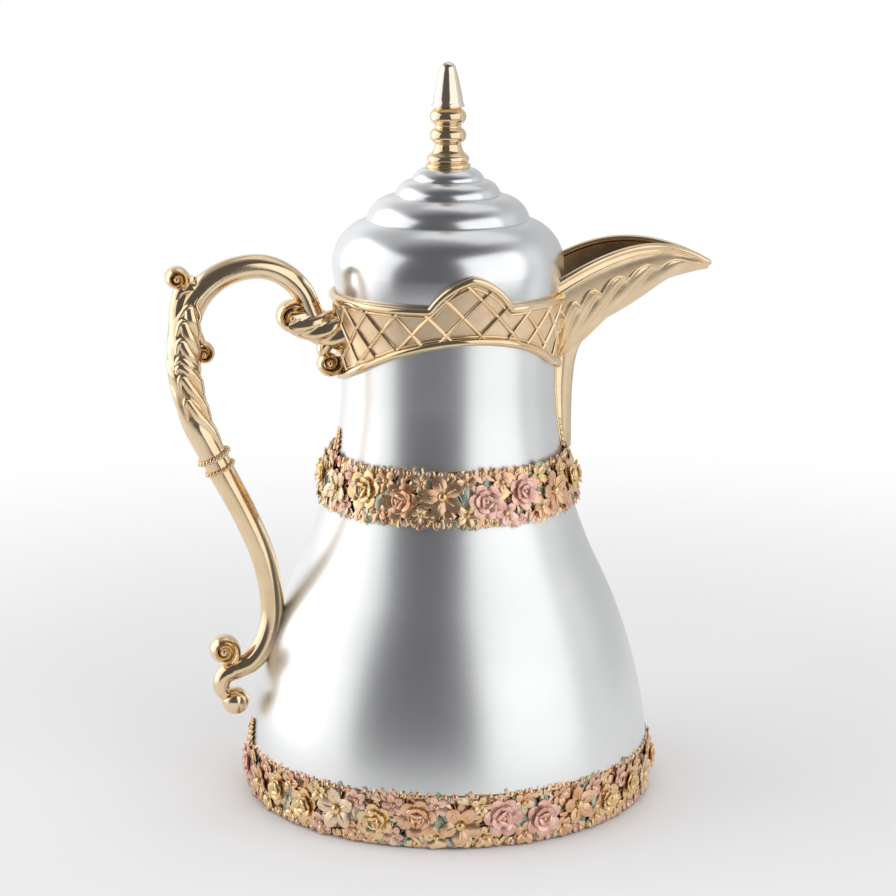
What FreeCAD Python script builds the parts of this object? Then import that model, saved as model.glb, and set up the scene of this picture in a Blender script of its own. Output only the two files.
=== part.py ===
"""Vacuum dallah: a pear-shaped coffee pot with a glass liner, a screw lid, a scroll handle and a beak spout.

Millimetres, +Z up.  The origin is on the pot's axis, on the surface it stands on.
The spout points along +X and the handle along -X.
"""
import FreeCAD, Part
import math
import os

import Sketcher
from FreeCAD import Rotation, Vector

doc = FreeCAD.newDocument("dallah")

# Driving sizes: name, value in millimetres (degrees and counts where it says so), what it is
SIZES = [
    # body shell
    ("shell_wall", 0.8, "spun steel shell thickness"),
    ("shell_foot_z", 3.0, "lower edge of the shell above the table"),
    ("belly_r", 88.5, "largest radius of the shell, just above the base band"),
    ("band_recess", 2.6, "how far the shell steps in behind the base band"),
    ("belly_z", 23.5, "height of the largest radius"),
    ("flank_r", 67.0, "shell radius where the belly turns into the waist"),
    ("flank_z", 99.0, "height of that turn"),
    ("belly_arc", 219.0, "profile radius of the convex belly"),
    ("waist_arc", 204.7, "profile radius of the concave waist"),
    ("neck_r", 46.4, "outer radius of the straight neck"),
    ("neck_z", 178.0, "height where the straight neck starts"),
    ("neck_len", 33.5, "length of the straight neck"),
    ("gallery_drop", 11.5, "floor of the pouring gallery below the top of the neck, on its underside"),
    # flower bands
    ("glue_gap", 0.1, "glue line between bonded pieces"),
    ("base_band_z", 1.0, "lower edge of the base band above the table"),
    ("base_band_wall", 2.0, "ground thickness of the base band"),
    ("waist_band_z", 127.0, "lower edge of the waist band"),
    ("waist_band_h", 23.0, "height of the waist band"),
    ("waist_band_low_wall", 1.6, "ground thickness at the waist band's lower edge"),
    ("waist_band_top_wall", 2.6, "ground thickness at the waist band's upper edge"),
    ("rose_r", 6.6, "radius of a rosette's petals"),
    ("rose_edge", 0.8, "band left clear beyond the petals"),
    ("rose_dip", 4.9, "radius of the dips between petals"),
    ("rose_heart_r", 2.6, "radius of a rosette's heart"),
    ("rose_proud", 2.2, "how far the petals stand off the band's ground"),
    ("rose_sink", 1.0, "how far a rosette's root goes into the band"),
    ("heart_proud", 0.9, "how far the heart stands off the petals"),
    ("base_roses", 30, "rosettes round the base band (count)"),
    ("waist_roses", 20, "rosettes round the waist band (count)"),
    # base
    ("cover_gap", 0.3, "clearance between the base cover and the shell"),
    ("cover_wall", 2.5, "base cover plate thickness"),
    ("cover_ring_w", 8.0, "width of the base cover's screw ring"),
    ("cover_ring_h", 9.5, "height of the screw ring above the plate"),
    ("foot_h", 2.0, "foot ring thickness"),
    ("foot_inset", 6.8, "foot ring in from the base cover's edge"),
    ("foot_w", 12.0, "width of the foot ring"),
    ("cup_r", 26.0, "inner radius of the cushion's cup on the base cover"),
    ("cup_wall", 2.2, "wall of that cup"),
    ("cup_h", 9.0, "height of that cup"),
    ("anchor_h", 1.5, "thickness of the anchor ring welded inside the shell"),
    ("screw_r", 1.6, "base screw shank radius"),
    ("screw_head_r", 3.2, "base screw head radius"),
    ("screw_head_h", 1.8, "base screw head height"),
    ("screw_gap", 0.15, "clearance round the base screws"),
    ("screw_count", 3, "base screws (count)"),
    # glass liner
    ("cushion_h", 7.0, "rubber between the cup's floor and the liner"),
    ("pip_r", 5.0, "hole in the cushion under the liner's sealing pip"),
    ("liner_r", 53.5, "outer radius of the glass liner"),
    ("liner_low_z", 58.0, "height where the liner's round bottom ends"),
    ("liner_high_z", 104.0, "height where the liner's shoulder starts"),
    ("liner_neck_z", 158.0, "height where the liner's neck starts"),
    ("liner_neck_r", 29.0, "outer radius of the liner's neck"),
    ("liner_bowl", 64.0, "profile radius of the liner's round bottom"),
    ("liner_shoulder", 66.0, "profile radius of the liner's shoulder"),
    ("glass_wall", 1.6, "thickness of each glass wall"),
    ("vacuum_gap", 3.0, "evacuated gap between the two glass walls"),
    ("gasket_h", 2.5, "neck gasket thickness"),
    ("gasket_lip", 0.6, "how far the gasket stays inside the liner's rim"),
    # neck sleeve
    ("mouth_drop", 14.0, "liner mouth below the gallery"),
    ("sleeve_r", 26.0, "bore of the neck sleeve"),
    ("sleeve_wall", 2.5, "wall of the neck sleeve"),
    ("sleeve_rise", 12.0, "sleeve top above the gallery"),
    ("lip_h", 2.5, "thickness of the seal seat at the sleeve's foot"),
    ("lip_r", 20.5, "opening in the seal seat"),
    ("hook_h", 1.5, "thickness of the sleeve's hook over the top of the neck"),
    ("hook_wall", 1.6, "wall of the gallery's outer side"),
    ("floor_h", 2.5, "thickness of the pouring gallery's floor"),
    ("port_w", 22.0, "width of the pouring port in the sleeve"),
    ("port_h", 7.0, "height of the pouring port"),
    # collar
    ("collar_wall", 1.7, "collar wall"),
    ("collar_border", 2.4, "plain border round the collar's lattice"),
    ("lattice_count", 21, "diamonds round the collar (count)"),
    ("lattice_tall", 15.0, "height of a lattice diamond"),
    ("lattice_z", 10.5, "middle of the lattice above the gallery"),
    ("lattice_bar", 1.0, "half width of a lattice bar"),
    ("lattice_deep", 0.8, "depth of the lattice panels"),
    ("collar_fit", 0.15, "clearance between collar and neck"),
    ("collar_hang", 11.5, "collar's lower ends below the gallery"),
    ("collar_arch", 18.0, "rise of the collar's lower edge on each side"),
    ("collar_lean_z", 4.0, "start of the collar's flare above the gallery"),
    ("collar_rim", 22.0, "collar rim above the gallery"),
    ("collar_lean", 2.6, "flare of the collar at its rim"),
    ("peak_h", 13.5, "height of the pointed crest above the rim"),
    ("peak_half", 17.5, "half width of the crest"),
    ("peak_arc", 30.0, "radius of the crest's convex edges"),
    ("window_half", 17.0, "half width of the pouring window in the collar"),
    ("window_low", 3.5, "sill of that window above the gallery"),
    # spout
    ("spout_wall", 1.8, "spout wall"),
    ("spout_reach", 117.0, "spout tip from the axis"),
    ("spout_tip_z", 30.5, "spout tip above the gallery"),
    ("spout_top_z", 40.5, "top of the spout's rim above the gallery"),
    ("spout_half", 21.5, "half width of the spout at its root"),
    ("spout_root_rim", 26.0, "spout rim at its root above the gallery"),
    ("spout_root_low", -13.0, "underside of the spout at its root, from the gallery"),
    ("spout_tip_deep", 2.8, "depth of the spout at its tip"),
    ("spout_tip_half", 3.6, "half width of the spout at its tip"),
    ("keel_drop", 46.0, "how far the spout's tail hangs below the gallery"),
    ("keel_half", 8.0, "half width of the tail at its top"),
    ("keel_tip_half", 2.4, "half width of the tail at its foot"),
    ("keel_proud", 11.5, "how far the tail stands off the neck under the spout"),
    ("keel_head", 4.0, "where the tail ends inside the spout, above the gallery"),
    ("keel_flare", 6.0, "extra flare where the tail runs into the spout"),
    ("keel_tip_proud", 2.6, "how far the tail's foot stands off the neck"),
    # handle
    ("grip_half", 5.6, "half thickness of the handle in its plane"),
    ("grip_side", 6.4, "half thickness of the handle across its plane"),
    ("leaf_swell", 0.35, "extra thickness of the leaf-wrapped grip, as a share"),
    ("grip_reach", 115.0, "axis of the upright grip from the pot's axis"),
    ("arch_top", 35.0, "top of the handle's arch above the gallery, on its axis"),
    ("arch_spring", 5.0, "springing of the arch above the gallery"),
    ("grip_drop", 10.0, "lower end of the upright grip below the gallery"),
    ("arch_x", 84.0, "arch top from the pot's axis"),
    ("arm_root_z", 6.0, "middle of the arm's root above the gallery"),
    ("arm_len", 22.0, "length of the arm from the collar to its scroll"),
    ("arm_root_half", 8.5, "half height of the arm at the collar"),
    ("arm_side", 9.0, "half width of the arm at the collar"),
    ("arm_rise", 6.5, "rise of the arm along its length"),
    ("foot_touch_z", 85.0, "height where the handle comes closest to the shell"),
    ("foot_bite", 0.6, "how far the handle's inner face is let onto the shell there"),
    ("foot_screw_low", 2.0, "foot screw below that height"),
    ("foot_z", 57.0, "lowest point of the handle's sweep"),
    ("foot_out", 97.0, "that point from the pot's axis"),
    ("scroll_r", 6.2, "radius of the large scrolls"),
    ("small_scroll_r", 4.6, "radius of the small scrolls"),
    ("scroll_half", 5.0, "half thickness of a scroll"),
    ("handle_screw_r", 2.0, "handle screw shank radius"),
    ("handle_screw_head_r", 3.0, "handle screw head radius"),
    ("handle_screw_head_h", 2.0, "handle screw head height"),
    ("handle_screw_in", 10.0, "depth of the upper handle screws in the casting"),
    ("foot_screw_in", 8.0, "length of the foot screw from the shell's inside"),
    ("handle_screw_gap", 0.1, "clearance round a handle screw"),
    # lid
    ("lid_wall", 0.9, "spun dome thickness"),
    ("lid_rim_z", 20.5, "dome rim above the gallery"),
    ("lid_rim_over", 1.8, "dome rim beyond the neck's radius"),
    ("lid_bulge_over", 3.6, "dome's largest radius beyond the neck's radius"),
    ("lid_bulge_h", 11.7, "height of that radius above the rim"),
    ("tier1_r", 35.0, "foot radius of the dome's first step"),
    ("tier1_h", 32.5, "foot of the first step above the rim"),
    ("tier2_r", 22.5, "foot radius of the second step"),
    ("tier2_h", 43.0, "foot of the second step above the rim"),
    ("tier3_r", 15.3, "foot radius of the third step"),
    ("tier3_h", 49.5, "foot of the third step above the rim"),
    ("lid_top_r", 10.4, "radius of the dome's flat top"),
    ("lid_top_h", 54.5, "dome's flat top above the rim"),
    ("step_h", 1.1, "height of the crease at each step"),
    ("bulge_arc", 20.0, "profile radius of the dome's shoulder"),
    ("tier_arc", 13.0, "profile radius of the first step's roll"),
    ("small_tier_arc", 8.0, "profile radius of the upper rolls"),
    ("cap_gap", 0.3, "clearance between the inner cap and the dome"),
    ("cap_plate_h", 2.5, "inner cap plate thickness"),
    ("cap_lift", 2.5, "inner cap plate above the dome's rim"),
    ("cap_post_r", 7.0, "post of the inner cap that carries the finial"),
    ("stopper_gap", 0.4, "clearance between the stopper and the sleeve"),
    ("stopper_wall", 2.5, "stopper wall"),
    ("stopper_flange_r", 31.0, "stopper flange radius"),
    ("stopper_flange_h", 3.0, "stopper flange thickness"),
    ("nose_h", 3.0, "length of the nose below the seal"),
    ("nose_lip", 1.2, "lip on the nose that holds the seal"),
    ("nose_r", 18.0, "radius of the stopper's nose inside the seal"),
    ("seal_w", 6.5, "seal width"),
    ("seal_h", 3.5, "seal thickness"),
    ("seal_gap", 0.3, "clearance between the seal and its seat"),
    ("seal_fit", 0.1, "clearance between the seal and the nose"),
    # finial
    ("finial_h", 45.0, "finial from the dome's flat top to its tip"),
    ("finial_r", 9.8, "foot radius of the finial"),
    ("finial_foot_h", 9.0, "height of the finial's flared foot"),
    ("bead_h", 6.2, "height of a bead"),
    ("groove_h", 1.8, "height of a groove"),
    ("bead_r", 7.9, "radius of the finial's beads"),
    ("groove_r", 6.0, "radius of the grooves between them"),
    ("spear_r", 7.1, "foot radius of the finial's spear"),
    ("spear_tip_r", 3.3, "tip radius of the spear"),
    ("stud_r", 2.4, "finial stud radius"),
    ("stud_len", 24.0, "finial stud length"),
    ("stud_gap", 0.1, "clearance round the stud"),
]

sheet = doc.addObject("Spreadsheet::Sheet", "Sizes")
for row, (alias, value, words) in enumerate(SIZES, start=1):
    sheet.set(f"A{row}", words)
    sheet.set(f"B{row}", str(value))
    sheet.setAlias(f"B{row}", alias)
doc.recompute()


class Size:
    """A number together with the expression that gives it from the sheet."""

    def __init__(self, value, text):
        self.value = float(value)
        self.text = text

    def __float__(self):
        return self.value

    def __add__(self, other):
        return joined(self, "+", other)

    def __radd__(self, other):
        return joined(other, "+", self)

    def __sub__(self, other):
        return joined(self, "-", other)

    def __rsub__(self, other):
        return joined(other, "-", self)

    def __mul__(self, other):
        return joined(self, "*", other)

    def __rmul__(self, other):
        return joined(other, "*", self)

    def __truediv__(self, other):
        return joined(self, "/", other)

    def __neg__(self):
        return joined(0, "-", self)


def joined(one, sign, other):
    """The sum, difference, product or quotient of two sizes."""
    pair = [n if isinstance(n, Size) else Size(n, str(n)) for n in (one, other)]
    a, b = pair[0].value, pair[1].value
    value = a + b if sign == "+" else a - b if sign == "-" else a * b if sign == "*" else a / b
    return Size(value, f"({pair[0].text} {sign} {pair[1].text})")


class Sizes:
    """Every driving size as an attribute, read back from the sheet."""

    def __init__(self):
        for alias, _, _ in SIZES:
            setattr(self, alias, Size(sheet.get(alias), "Sizes." + alias))


d = Sizes()

# Levels and radii that several pieces share
SHELL_TOP = d.neck_z + d.neck_len
TOP = SHELL_TOP - d.gallery_drop
TUCK_R = d.belly_r - d.band_recess
MOUTH = TOP - d.mouth_drop
SEAT = MOUTH + d.gasket_h + d.lip_h
RIM = TOP + d.lid_rim_z
CAP = RIM + d.cap_lift
COLLAR_R = d.neck_r + d.collar_fit
SLEEVE_EDGE = d.neck_r - d.shell_wall - d.collar_fit
CREST = TOP + d.collar_rim + d.peak_h
FLARE_H = d.collar_rim + d.peak_h - d.collar_lean_z
FLARE_R = COLLAR_R + d.collar_lean * FLARE_H / (d.collar_rim - d.collar_lean_z)
COVER_R = TUCK_R - d.shell_wall - d.cover_gap
SCREW_PITCH = COVER_R - d.cover_ring_w / 2
PLATE_TOP = d.foot_h + d.cover_wall
ANCHOR_Z = PLATE_TOP + d.cover_ring_h
LID_TOP = RIM + d.lid_top_h
LID_RIM_R = d.neck_r + d.lid_rim_over
LID_BULGE_R = d.neck_r + d.lid_bulge_over


def outline(body, plane, name, corners):
    """A closed sketch through corners, each (across, up) or (across, up, arc radius, side).

    An arc runs from its corner to the next one; side is 1 where it turns left on the way
    and -1 where it turns right.
    """
    sketch = body.newObject("Sketcher::SketchObject", name)
    support = [f for f in body.Origin.OriginFeatures if f.Role == plane][0]
    sketch.AttachmentSupport = [(support, "")]
    sketch.MapMode = "FlatFace"
    spots = [Vector(float(c[0]), float(c[1]), 0) for c in corners]
    starts = []
    for i, corner in enumerate(corners):
        here, there = spots[i], spots[(i + 1) % len(spots)]
        if len(corner) == 2:
            sketch.addGeometry(Part.LineSegment(here, there))
            starts.append(1)
            continue
        radius, side = float(corner[2]), corner[3]
        chord = there - here
        left = Vector(-chord.y, chord.x, 0).normalize()
        centre = (here + there) / 2 + left * side * math.sqrt(radius**2 - chord.Length**2 / 4)
        first, last = (here, there) if side > 0 else (there, here)
        angles = [math.atan2(p.y - centre.y, p.x - centre.x) for p in (first, last)]
        sketch.addGeometry(Part.ArcOfCircle(Part.Circle(centre, Vector(0, 0, 1), radius), *angles))
        starts.append(1 if side > 0 else 2)
    rules, ties = [], {}
    for i, corner in enumerate(corners):
        before = i - 1 if i else len(corners) - 1
        rules.append(Sketcher.Constraint("Coincident", before, 3 - starts[before], i, starts[i]))
        for kind, text, axis in (("DistanceX", corner[0], -2), ("DistanceY", corner[1], -1)):
            if not isinstance(text, Size):
                rules.append(Sketcher.Constraint("PointOnObject", i, starts[i], axis))
                continue
            ties[len(rules)] = text
            rules.append(Sketcher.Constraint(kind, -1, 1, i, starts[i], float(text)))
        if len(corner) == 4:
            ties[len(rules)] = corner[2]
            rules.append(Sketcher.Constraint("Radius", i, float(corner[2])))
    sketch.addConstraint(rules)
    for number, text in ties.items():
        sketch.setExpression(f"Constraints[{number}]", text.text)
    return sketch


def lathe(label, corners):
    """A body turned about the pot's axis from a half section given as (radius, height) corners."""
    body = doc.addObject("PartDesign::Body", label)
    sketch = outline(body, "XZ_Plane", label + "_section", corners)
    turned = body.newObject("PartDesign::Revolution", label + "_turned")
    turned.Profile = sketch
    turned.ReferenceAxis = (sketch, ["V_Axis"])
    turned.Angle = 360
    doc.recompute()
    return body


def cut_through(body, plane, label, corners, both_ways=True):
    """Cuts the outline right through the body, square to the plane."""
    sketch = outline(body, plane, label + "_outline", corners)
    pocket = body.newObject("PartDesign::Pocket", label)
    pocket.Profile = sketch
    pocket.Type = "ThroughAll"
    pocket.Midplane = both_ways
    pocket.Reversed = not both_ways
    body.Tip = pocket
    doc.recompute()
    return pocket


def feature(label, shape):
    made = doc.addObject("Part::Feature", label)
    made.Shape = shape
    return made


def largest(shape):
    """The biggest solid of a shape."""
    return max(shape.Solids, key=lambda solid: solid.Volume)


def shell_r(z):
    """Outer radius of the shell between the base band and the top of the neck."""
    if z >= float(d.neck_z):
        return float(d.neck_r)
    upper = z > float(d.flank_z)
    turn = Vector(float(d.flank_r), float(d.flank_z), 0)
    a = turn if upper else Vector(float(d.belly_r), float(d.belly_z), 0)
    b = Vector(float(d.neck_r), float(d.neck_z), 0) if upper else turn
    radius = float(d.waist_arc if upper else d.belly_arc)
    chord = b - a
    inward = Vector(-chord.y, chord.x, 0).normalize() * (-1 if upper else 1)
    centre = (a + b) / 2 + inward * math.sqrt(radius**2 - chord.Length**2 / 4)
    reach = math.sqrt(radius**2 - (z - centre.y) ** 2)
    return centre.x - reach if upper else centre.x + reach


# Body shell

def shell_section(extra):
    """Corners of the shell's outside from foot to neck, moved out by extra."""
    return [
        (TUCK_R + extra, d.shell_foot_z),
        (TUCK_R + extra, d.belly_z - 1),
        (d.belly_r + extra, d.belly_z, d.belly_arc, 1),
        (d.flank_r + extra, d.flank_z, d.waist_arc, -1),
        (d.neck_r + extra, d.neck_z),
    ]


def make_spun_shell():
    outside = shell_section(0) + [(d.neck_r, SHELL_TOP)]
    inside = [
        (d.neck_r - d.shell_wall, SHELL_TOP),
        (d.neck_r - d.shell_wall, d.neck_z, d.waist_arc, 1),
        (d.flank_r - d.shell_wall, d.flank_z, d.belly_arc, -1),
        (d.belly_r - d.shell_wall, d.belly_z),
        (TUCK_R - d.shell_wall, d.belly_z - 1),
        (TUCK_R - d.shell_wall, d.shell_foot_z),
    ]
    body = lathe("spun_shell", outside + inside)
    cut_through(body, "YZ_Plane", "shell_window", window(d.shell_wall * 0), both_ways=False)
    return body


def window(grown):
    """The pouring window's outline, open at the top, made wider by grown on each side."""
    half, sill = d.window_half + grown, TOP + d.window_low - grown
    return [
        (-half, sill),
        (half, sill),
        (half, CREST + 10),
        (-half, CREST + 10),
    ]


def make_shell_envelope():
    """A solid of the shell's outside plus the glue gap, used to fit pieces onto it."""
    top = [(d.neck_r + d.glue_gap, SHELL_TOP), (0, SHELL_TOP), (0, d.shell_foot_z)]
    return lathe("shell_envelope", shell_section(d.glue_gap) + top)


spun_shell = make_spun_shell()
shell_envelope = make_shell_envelope()


# Flower bands

def rosette(proud):
    """A five-petalled flower with a raised heart, facing +Z, its band ground at z = 0."""
    petals, tip, dip = 5, float(d.rose_r), float(d.rose_dip)
    sink = float(d.rose_sink)

    def spot(radius, step):
        angle = math.pi * step / petals
        return Vector(radius * math.cos(angle), radius * math.sin(angle), -sink)

    arcs = [Part.Arc(spot(dip, 2 * i - 1), spot(tip, 2 * i), spot(dip, 2 * i + 1)) for i in range(petals)]
    flower = Part.Face(Part.Wire([arc.toShape() for arc in arcs])).extrude(Vector(0, 0, sink + proud))
    heart_h = float(d.heart_proud) + proud + sink
    heart = Part.makeCone(float(d.rose_heart_r), float(d.rose_heart_r) / 2, heart_h, Vector(0, 0, -sink))
    return flower.fuse(heart)


def garland(ring, count, z, radius, slope, swing):
    """The ring with flowers round it, every other one higher and lower by swing."""
    flower = rosette(float(d.rose_proud))
    flowers = []
    for i in range(int(count)):
        turn = 360.0 * (i + 0.5) / count
        paired = min(i, int(count) - 1 - i)
        height = z + (swing if paired % 2 else -swing)
        one = flower.copy()
        lean = Rotation(Vector(0, 1, 0), 90 - slope)
        inset = math.tan(math.radians(slope)) * (height - z)
        place = FreeCAD.Placement(Vector(radius - inset, 0, height), lean)
        one.Placement = FreeCAD.Placement(Vector(0, 0, 0), Rotation(Vector(0, 0, 1), turn)).multiply(place)
        flowers.append(one)
    return ring.fuse(flowers)


def make_base_band():
    ring = lathe("base_band_ring", [
        (TUCK_R + d.glue_gap, d.base_band_z),
        (TUCK_R + d.glue_gap + d.base_band_wall, d.base_band_z),
        (TUCK_R + d.glue_gap + d.base_band_wall, d.belly_z - 1.3),
        (TUCK_R + d.glue_gap, d.belly_z - 1.3),
    ])
    ground = float(TUCK_R + d.glue_gap + d.base_band_wall)
    middle = float((d.base_band_z + d.belly_z - 1.3) / 2)
    swing = float((d.belly_z - 1.3 - d.base_band_z) / 2 - d.rose_r - d.rose_edge)
    return feature("base_band", garland(ring.Shape, float(d.base_roses), middle, ground, 0.0, swing))


def make_waist_band():
    low, high = float(d.waist_band_z), float(d.waist_band_z + d.waist_band_h)
    low_r = shell_r(low) + float(d.waist_band_low_wall)
    high_r = shell_r(high) + float(d.waist_band_top_wall)
    ring = Part.makeCone(low_r, high_r, high - low, Vector(0, 0, low)).cut(shell_envelope.Shape)
    slope = math.degrees(math.atan2(low_r - high_r, high - low))
    swing = float(d.waist_band_h / 2 - d.rose_r - d.rose_edge)
    flowers = garland(ring, float(d.waist_roses), (low + high) / 2, (low_r + high_r) / 2, slope, swing)
    return feature("waist_band", flowers.cut(shell_envelope.Shape))


base_band = make_base_band()
waist_band = make_waist_band()


# Base

def make_base_cover():
    body = lathe("base_cover_blank", [
        (0, d.foot_h),
        (COVER_R, d.foot_h),
        (COVER_R, ANCHOR_Z),
        (COVER_R - d.cover_ring_w, ANCHOR_Z),
        (COVER_R - d.cover_ring_w, PLATE_TOP),
        (d.cup_r + d.cup_wall, PLATE_TOP),
        (d.cup_r + d.cup_wall, PLATE_TOP + d.cup_h),
        (d.cup_r, PLATE_TOP + d.cup_h),
        (d.cup_r, PLATE_TOP),
        (0, PLATE_TOP),
    ])
    holes = []
    for spot in screw_spots(float(d.foot_h)):
        deep = float(d.cover_wall + d.cover_ring_h)
        holes.append(Part.makeCylinder(float(d.screw_r + d.screw_gap), deep, spot))
        head_r = float(d.screw_head_r + d.screw_gap)
        head_h = float(d.screw_head_h + d.screw_gap)
        holes.append(Part.makeCylinder(head_r, head_h, spot))
    return feature("base_cover", body.Shape.cut(holes))


def screw_spots(z):
    """Centres of the base screws at a height."""
    pitch, count = float(SCREW_PITCH), int(float(d.screw_count))
    turns = [2 * math.pi * (i + 0.5) / count for i in range(count)]
    return [Vector(pitch * math.cos(t), pitch * math.sin(t), z) for t in turns]


def make_base_screws():
    screws = []
    for spot in screw_spots(float(d.foot_h + d.screw_gap)):
        head = Part.makeCylinder(float(d.screw_head_r), float(d.screw_head_h), spot)
        long = float(ANCHOR_Z + d.anchor_h - d.foot_h - d.screw_gap)
        screws.append(head.fuse(Part.makeCylinder(float(d.screw_r), long, spot)).removeSplitter())
    return feature("base_screws", Part.makeCompound(screws))


def make_anchor_ring():
    ring = lathe("anchor_ring_plate", [
        (COVER_R - d.cover_ring_w, ANCHOR_Z),
        (TUCK_R - d.shell_wall, ANCHOR_Z),
        (TUCK_R - d.shell_wall, ANCHOR_Z + d.anchor_h),
        (COVER_R - d.cover_ring_w, ANCHOR_Z + d.anchor_h),
    ])
    bore_r = float(d.screw_r + d.screw_gap / 3)
    holes = [Part.makeCylinder(bore_r, float(d.anchor_h), p) for p in screw_spots(float(ANCHOR_Z))]
    return feature("anchor_ring", ring.Shape.cut(holes))


base_cover = make_base_cover()
base_screws = make_base_screws()
anchor_ring = make_anchor_ring()
foot_ring = lathe("foot_ring", [
    (COVER_R - d.foot_inset - d.foot_w, 0),
    (COVER_R - d.foot_inset, 0),
    (COVER_R - d.foot_inset, d.foot_h),
    (COVER_R - d.foot_inset - d.foot_w, d.foot_h),
])


# Glass liner, its cushion and its gasket

LINER_Z = PLATE_TOP + d.cushion_h


def liner_wall(inset):
    """Corners of a glass surface from the axis at the bottom to the mouth, inset from the liner's outside."""
    return [
        (0, LINER_Z + inset, d.liner_bowl - inset, 1),
        (d.liner_r - inset, d.liner_low_z),
        (d.liner_r - inset, d.liner_high_z, d.liner_shoulder - inset, 1),
        (d.liner_neck_r - inset, d.liner_neck_z),
    ]


def reverse(corners):
    """The same outline walked the other way."""
    turned = []
    for i, corner in enumerate(corners):
        leg = corners[i - 1][2:] if i else ()
        turned.append((corner[0], corner[1]) + ((leg[0], -leg[1]) if leg else ()))
    return turned[::-1]


def make_glass_liner():
    outer_gap = d.glass_wall
    inner_gap = d.glass_wall + d.vacuum_gap
    inside = 2 * d.glass_wall + d.vacuum_gap
    outside = liner_wall(0) + [(d.liner_neck_r, MOUTH)]
    bore = [(d.liner_neck_r - inside, MOUTH)] + reverse(liner_wall(inside))
    inner_back = liner_wall(inner_gap) + [(d.liner_neck_r - inner_gap, MOUTH - d.glass_wall)]
    outer_back = [(d.liner_neck_r - outer_gap, MOUTH - d.glass_wall)] + reverse(liner_wall(outer_gap))
    return lathe("glass_liner", outside + bore + inner_back + outer_back)


glass_liner = make_glass_liner()
cushion_block = lathe("cushion_block", [
    (d.pip_r, PLATE_TOP),
    (d.cup_r - d.glue_gap, PLATE_TOP),
    (d.cup_r - d.glue_gap, LINER_Z + d.cup_h / 2),
    (d.pip_r, LINER_Z + d.cup_h / 2),
])
liner_bed = lathe("liner_bed", [
    (0, LINER_Z - d.glue_gap, d.liner_bowl, 1),
    (d.liner_r, d.liner_low_z - d.glue_gap),
    (0, d.liner_low_z),
])
liner_cushion = doc.addObject("Part::Cut", "liner_cushion")
liner_cushion.Base = cushion_block
liner_cushion.Tool = liner_bed
neck_gasket = lathe("neck_gasket", [
    (d.liner_neck_r - 2 * d.glass_wall - d.vacuum_gap + d.gasket_lip, MOUTH),
    (d.liner_neck_r - d.gasket_lip, MOUTH),
    (d.liner_neck_r - d.gasket_lip, MOUTH + d.gasket_h),
    (d.liner_neck_r - 2 * d.glass_wall - d.vacuum_gap + d.gasket_lip, MOUTH + d.gasket_h),
])


# Neck sleeve with the pouring gallery's floor

def make_neck_sleeve():
    edge = SLEEVE_EDGE
    body = lathe("ported_sleeve", [
        (d.lip_r, MOUTH + d.gasket_h),
        (d.sleeve_r + d.sleeve_wall, MOUTH + d.gasket_h),
        (d.sleeve_r + d.sleeve_wall, TOP),
        (edge, TOP),
        (edge, SHELL_TOP),
        (d.neck_r, SHELL_TOP),
        (d.neck_r, SHELL_TOP + d.hook_h),
        (edge - d.hook_wall, SHELL_TOP + d.hook_h),
        (edge - d.hook_wall, TOP + d.floor_h),
        (d.sleeve_r + d.sleeve_wall, TOP + d.floor_h),
        (d.sleeve_r + d.sleeve_wall, TOP + d.sleeve_rise),
        (d.sleeve_r, TOP + d.sleeve_rise),
        (d.sleeve_r, SEAT),
        (d.lip_r, SEAT),
    ])
    cut_through(body, "YZ_Plane", "pouring_port", [
        (-d.port_w / 2, TOP + d.floor_h),
        (d.port_w / 2, TOP + d.floor_h),
        (d.port_w / 2, TOP + d.floor_h + d.port_h),
        (-d.port_w / 2, TOP + d.floor_h + d.port_h),
    ], both_ways=False)
    gap = doc.addObject("Part::Box", "gallery_window")
    gap.setExpression("Length", d.neck_r.text)
    gap.setExpression("Width", (d.window_half * 2).text)
    gap.setExpression("Height", (d.gallery_drop + d.hook_h).text)
    gap.setExpression("Placement.Base.x", (d.sleeve_r + d.sleeve_wall + 4).text)
    gap.setExpression("Placement.Base.y", (-d.window_half).text)
    gap.setExpression("Placement.Base.z", (TOP + d.window_low).text)
    sleeve = doc.addObject("Part::Cut", "open_sleeve")
    sleeve.Base = body
    sleeve.Tool = gap
    return sleeve


open_sleeve = make_neck_sleeve()


# Collar

def collar_blank(label, inset, inner, wall):
    """The collar's outline as a flared band, drawn in from its edges by inset."""
    lean_z, rim_z = TOP + d.collar_lean_z, TOP + d.collar_rim - inset
    low_z = TOP - d.collar_hang + inset
    crest = CREST - inset * 1.3
    flare = FLARE_R - COLLAR_R
    body = lathe(label, [
        (inner, low_z),
        (inner + wall, low_z),
        (inner + wall, lean_z),
        (inner + flare + wall, CREST),
        (inner + flare, CREST),
        (inner, lean_z),
    ])
    wide, far_up = FLARE_R + 10, CREST + 10
    cut_through(body, "XZ_Plane", label + "_crest", [
        (-wide, rim_z),
        (-(d.peak_half - inset * 0.4), rim_z, d.peak_arc, -1),
        (0, crest, d.peak_arc, -1),
        (d.peak_half - inset * 0.4, rim_z),
        (wide, rim_z),
        (wide, far_up),
        (-wide, far_up),
    ])
    reach = d.neck_r + d.collar_wall + 1
    arch_r = (reach * reach + d.collar_arch * d.collar_arch) / (2 * d.collar_arch)
    cut_through(body, "XZ_Plane", label + "_arch", [
        (-reach, low_z - 10),
        (reach, low_z - 10),
        (reach, low_z, arch_r, 1),
        (-reach, low_z),
    ])
    cut_through(body, "YZ_Plane", label + "_window", window(inset * 2), both_ways=False)
    return body


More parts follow.
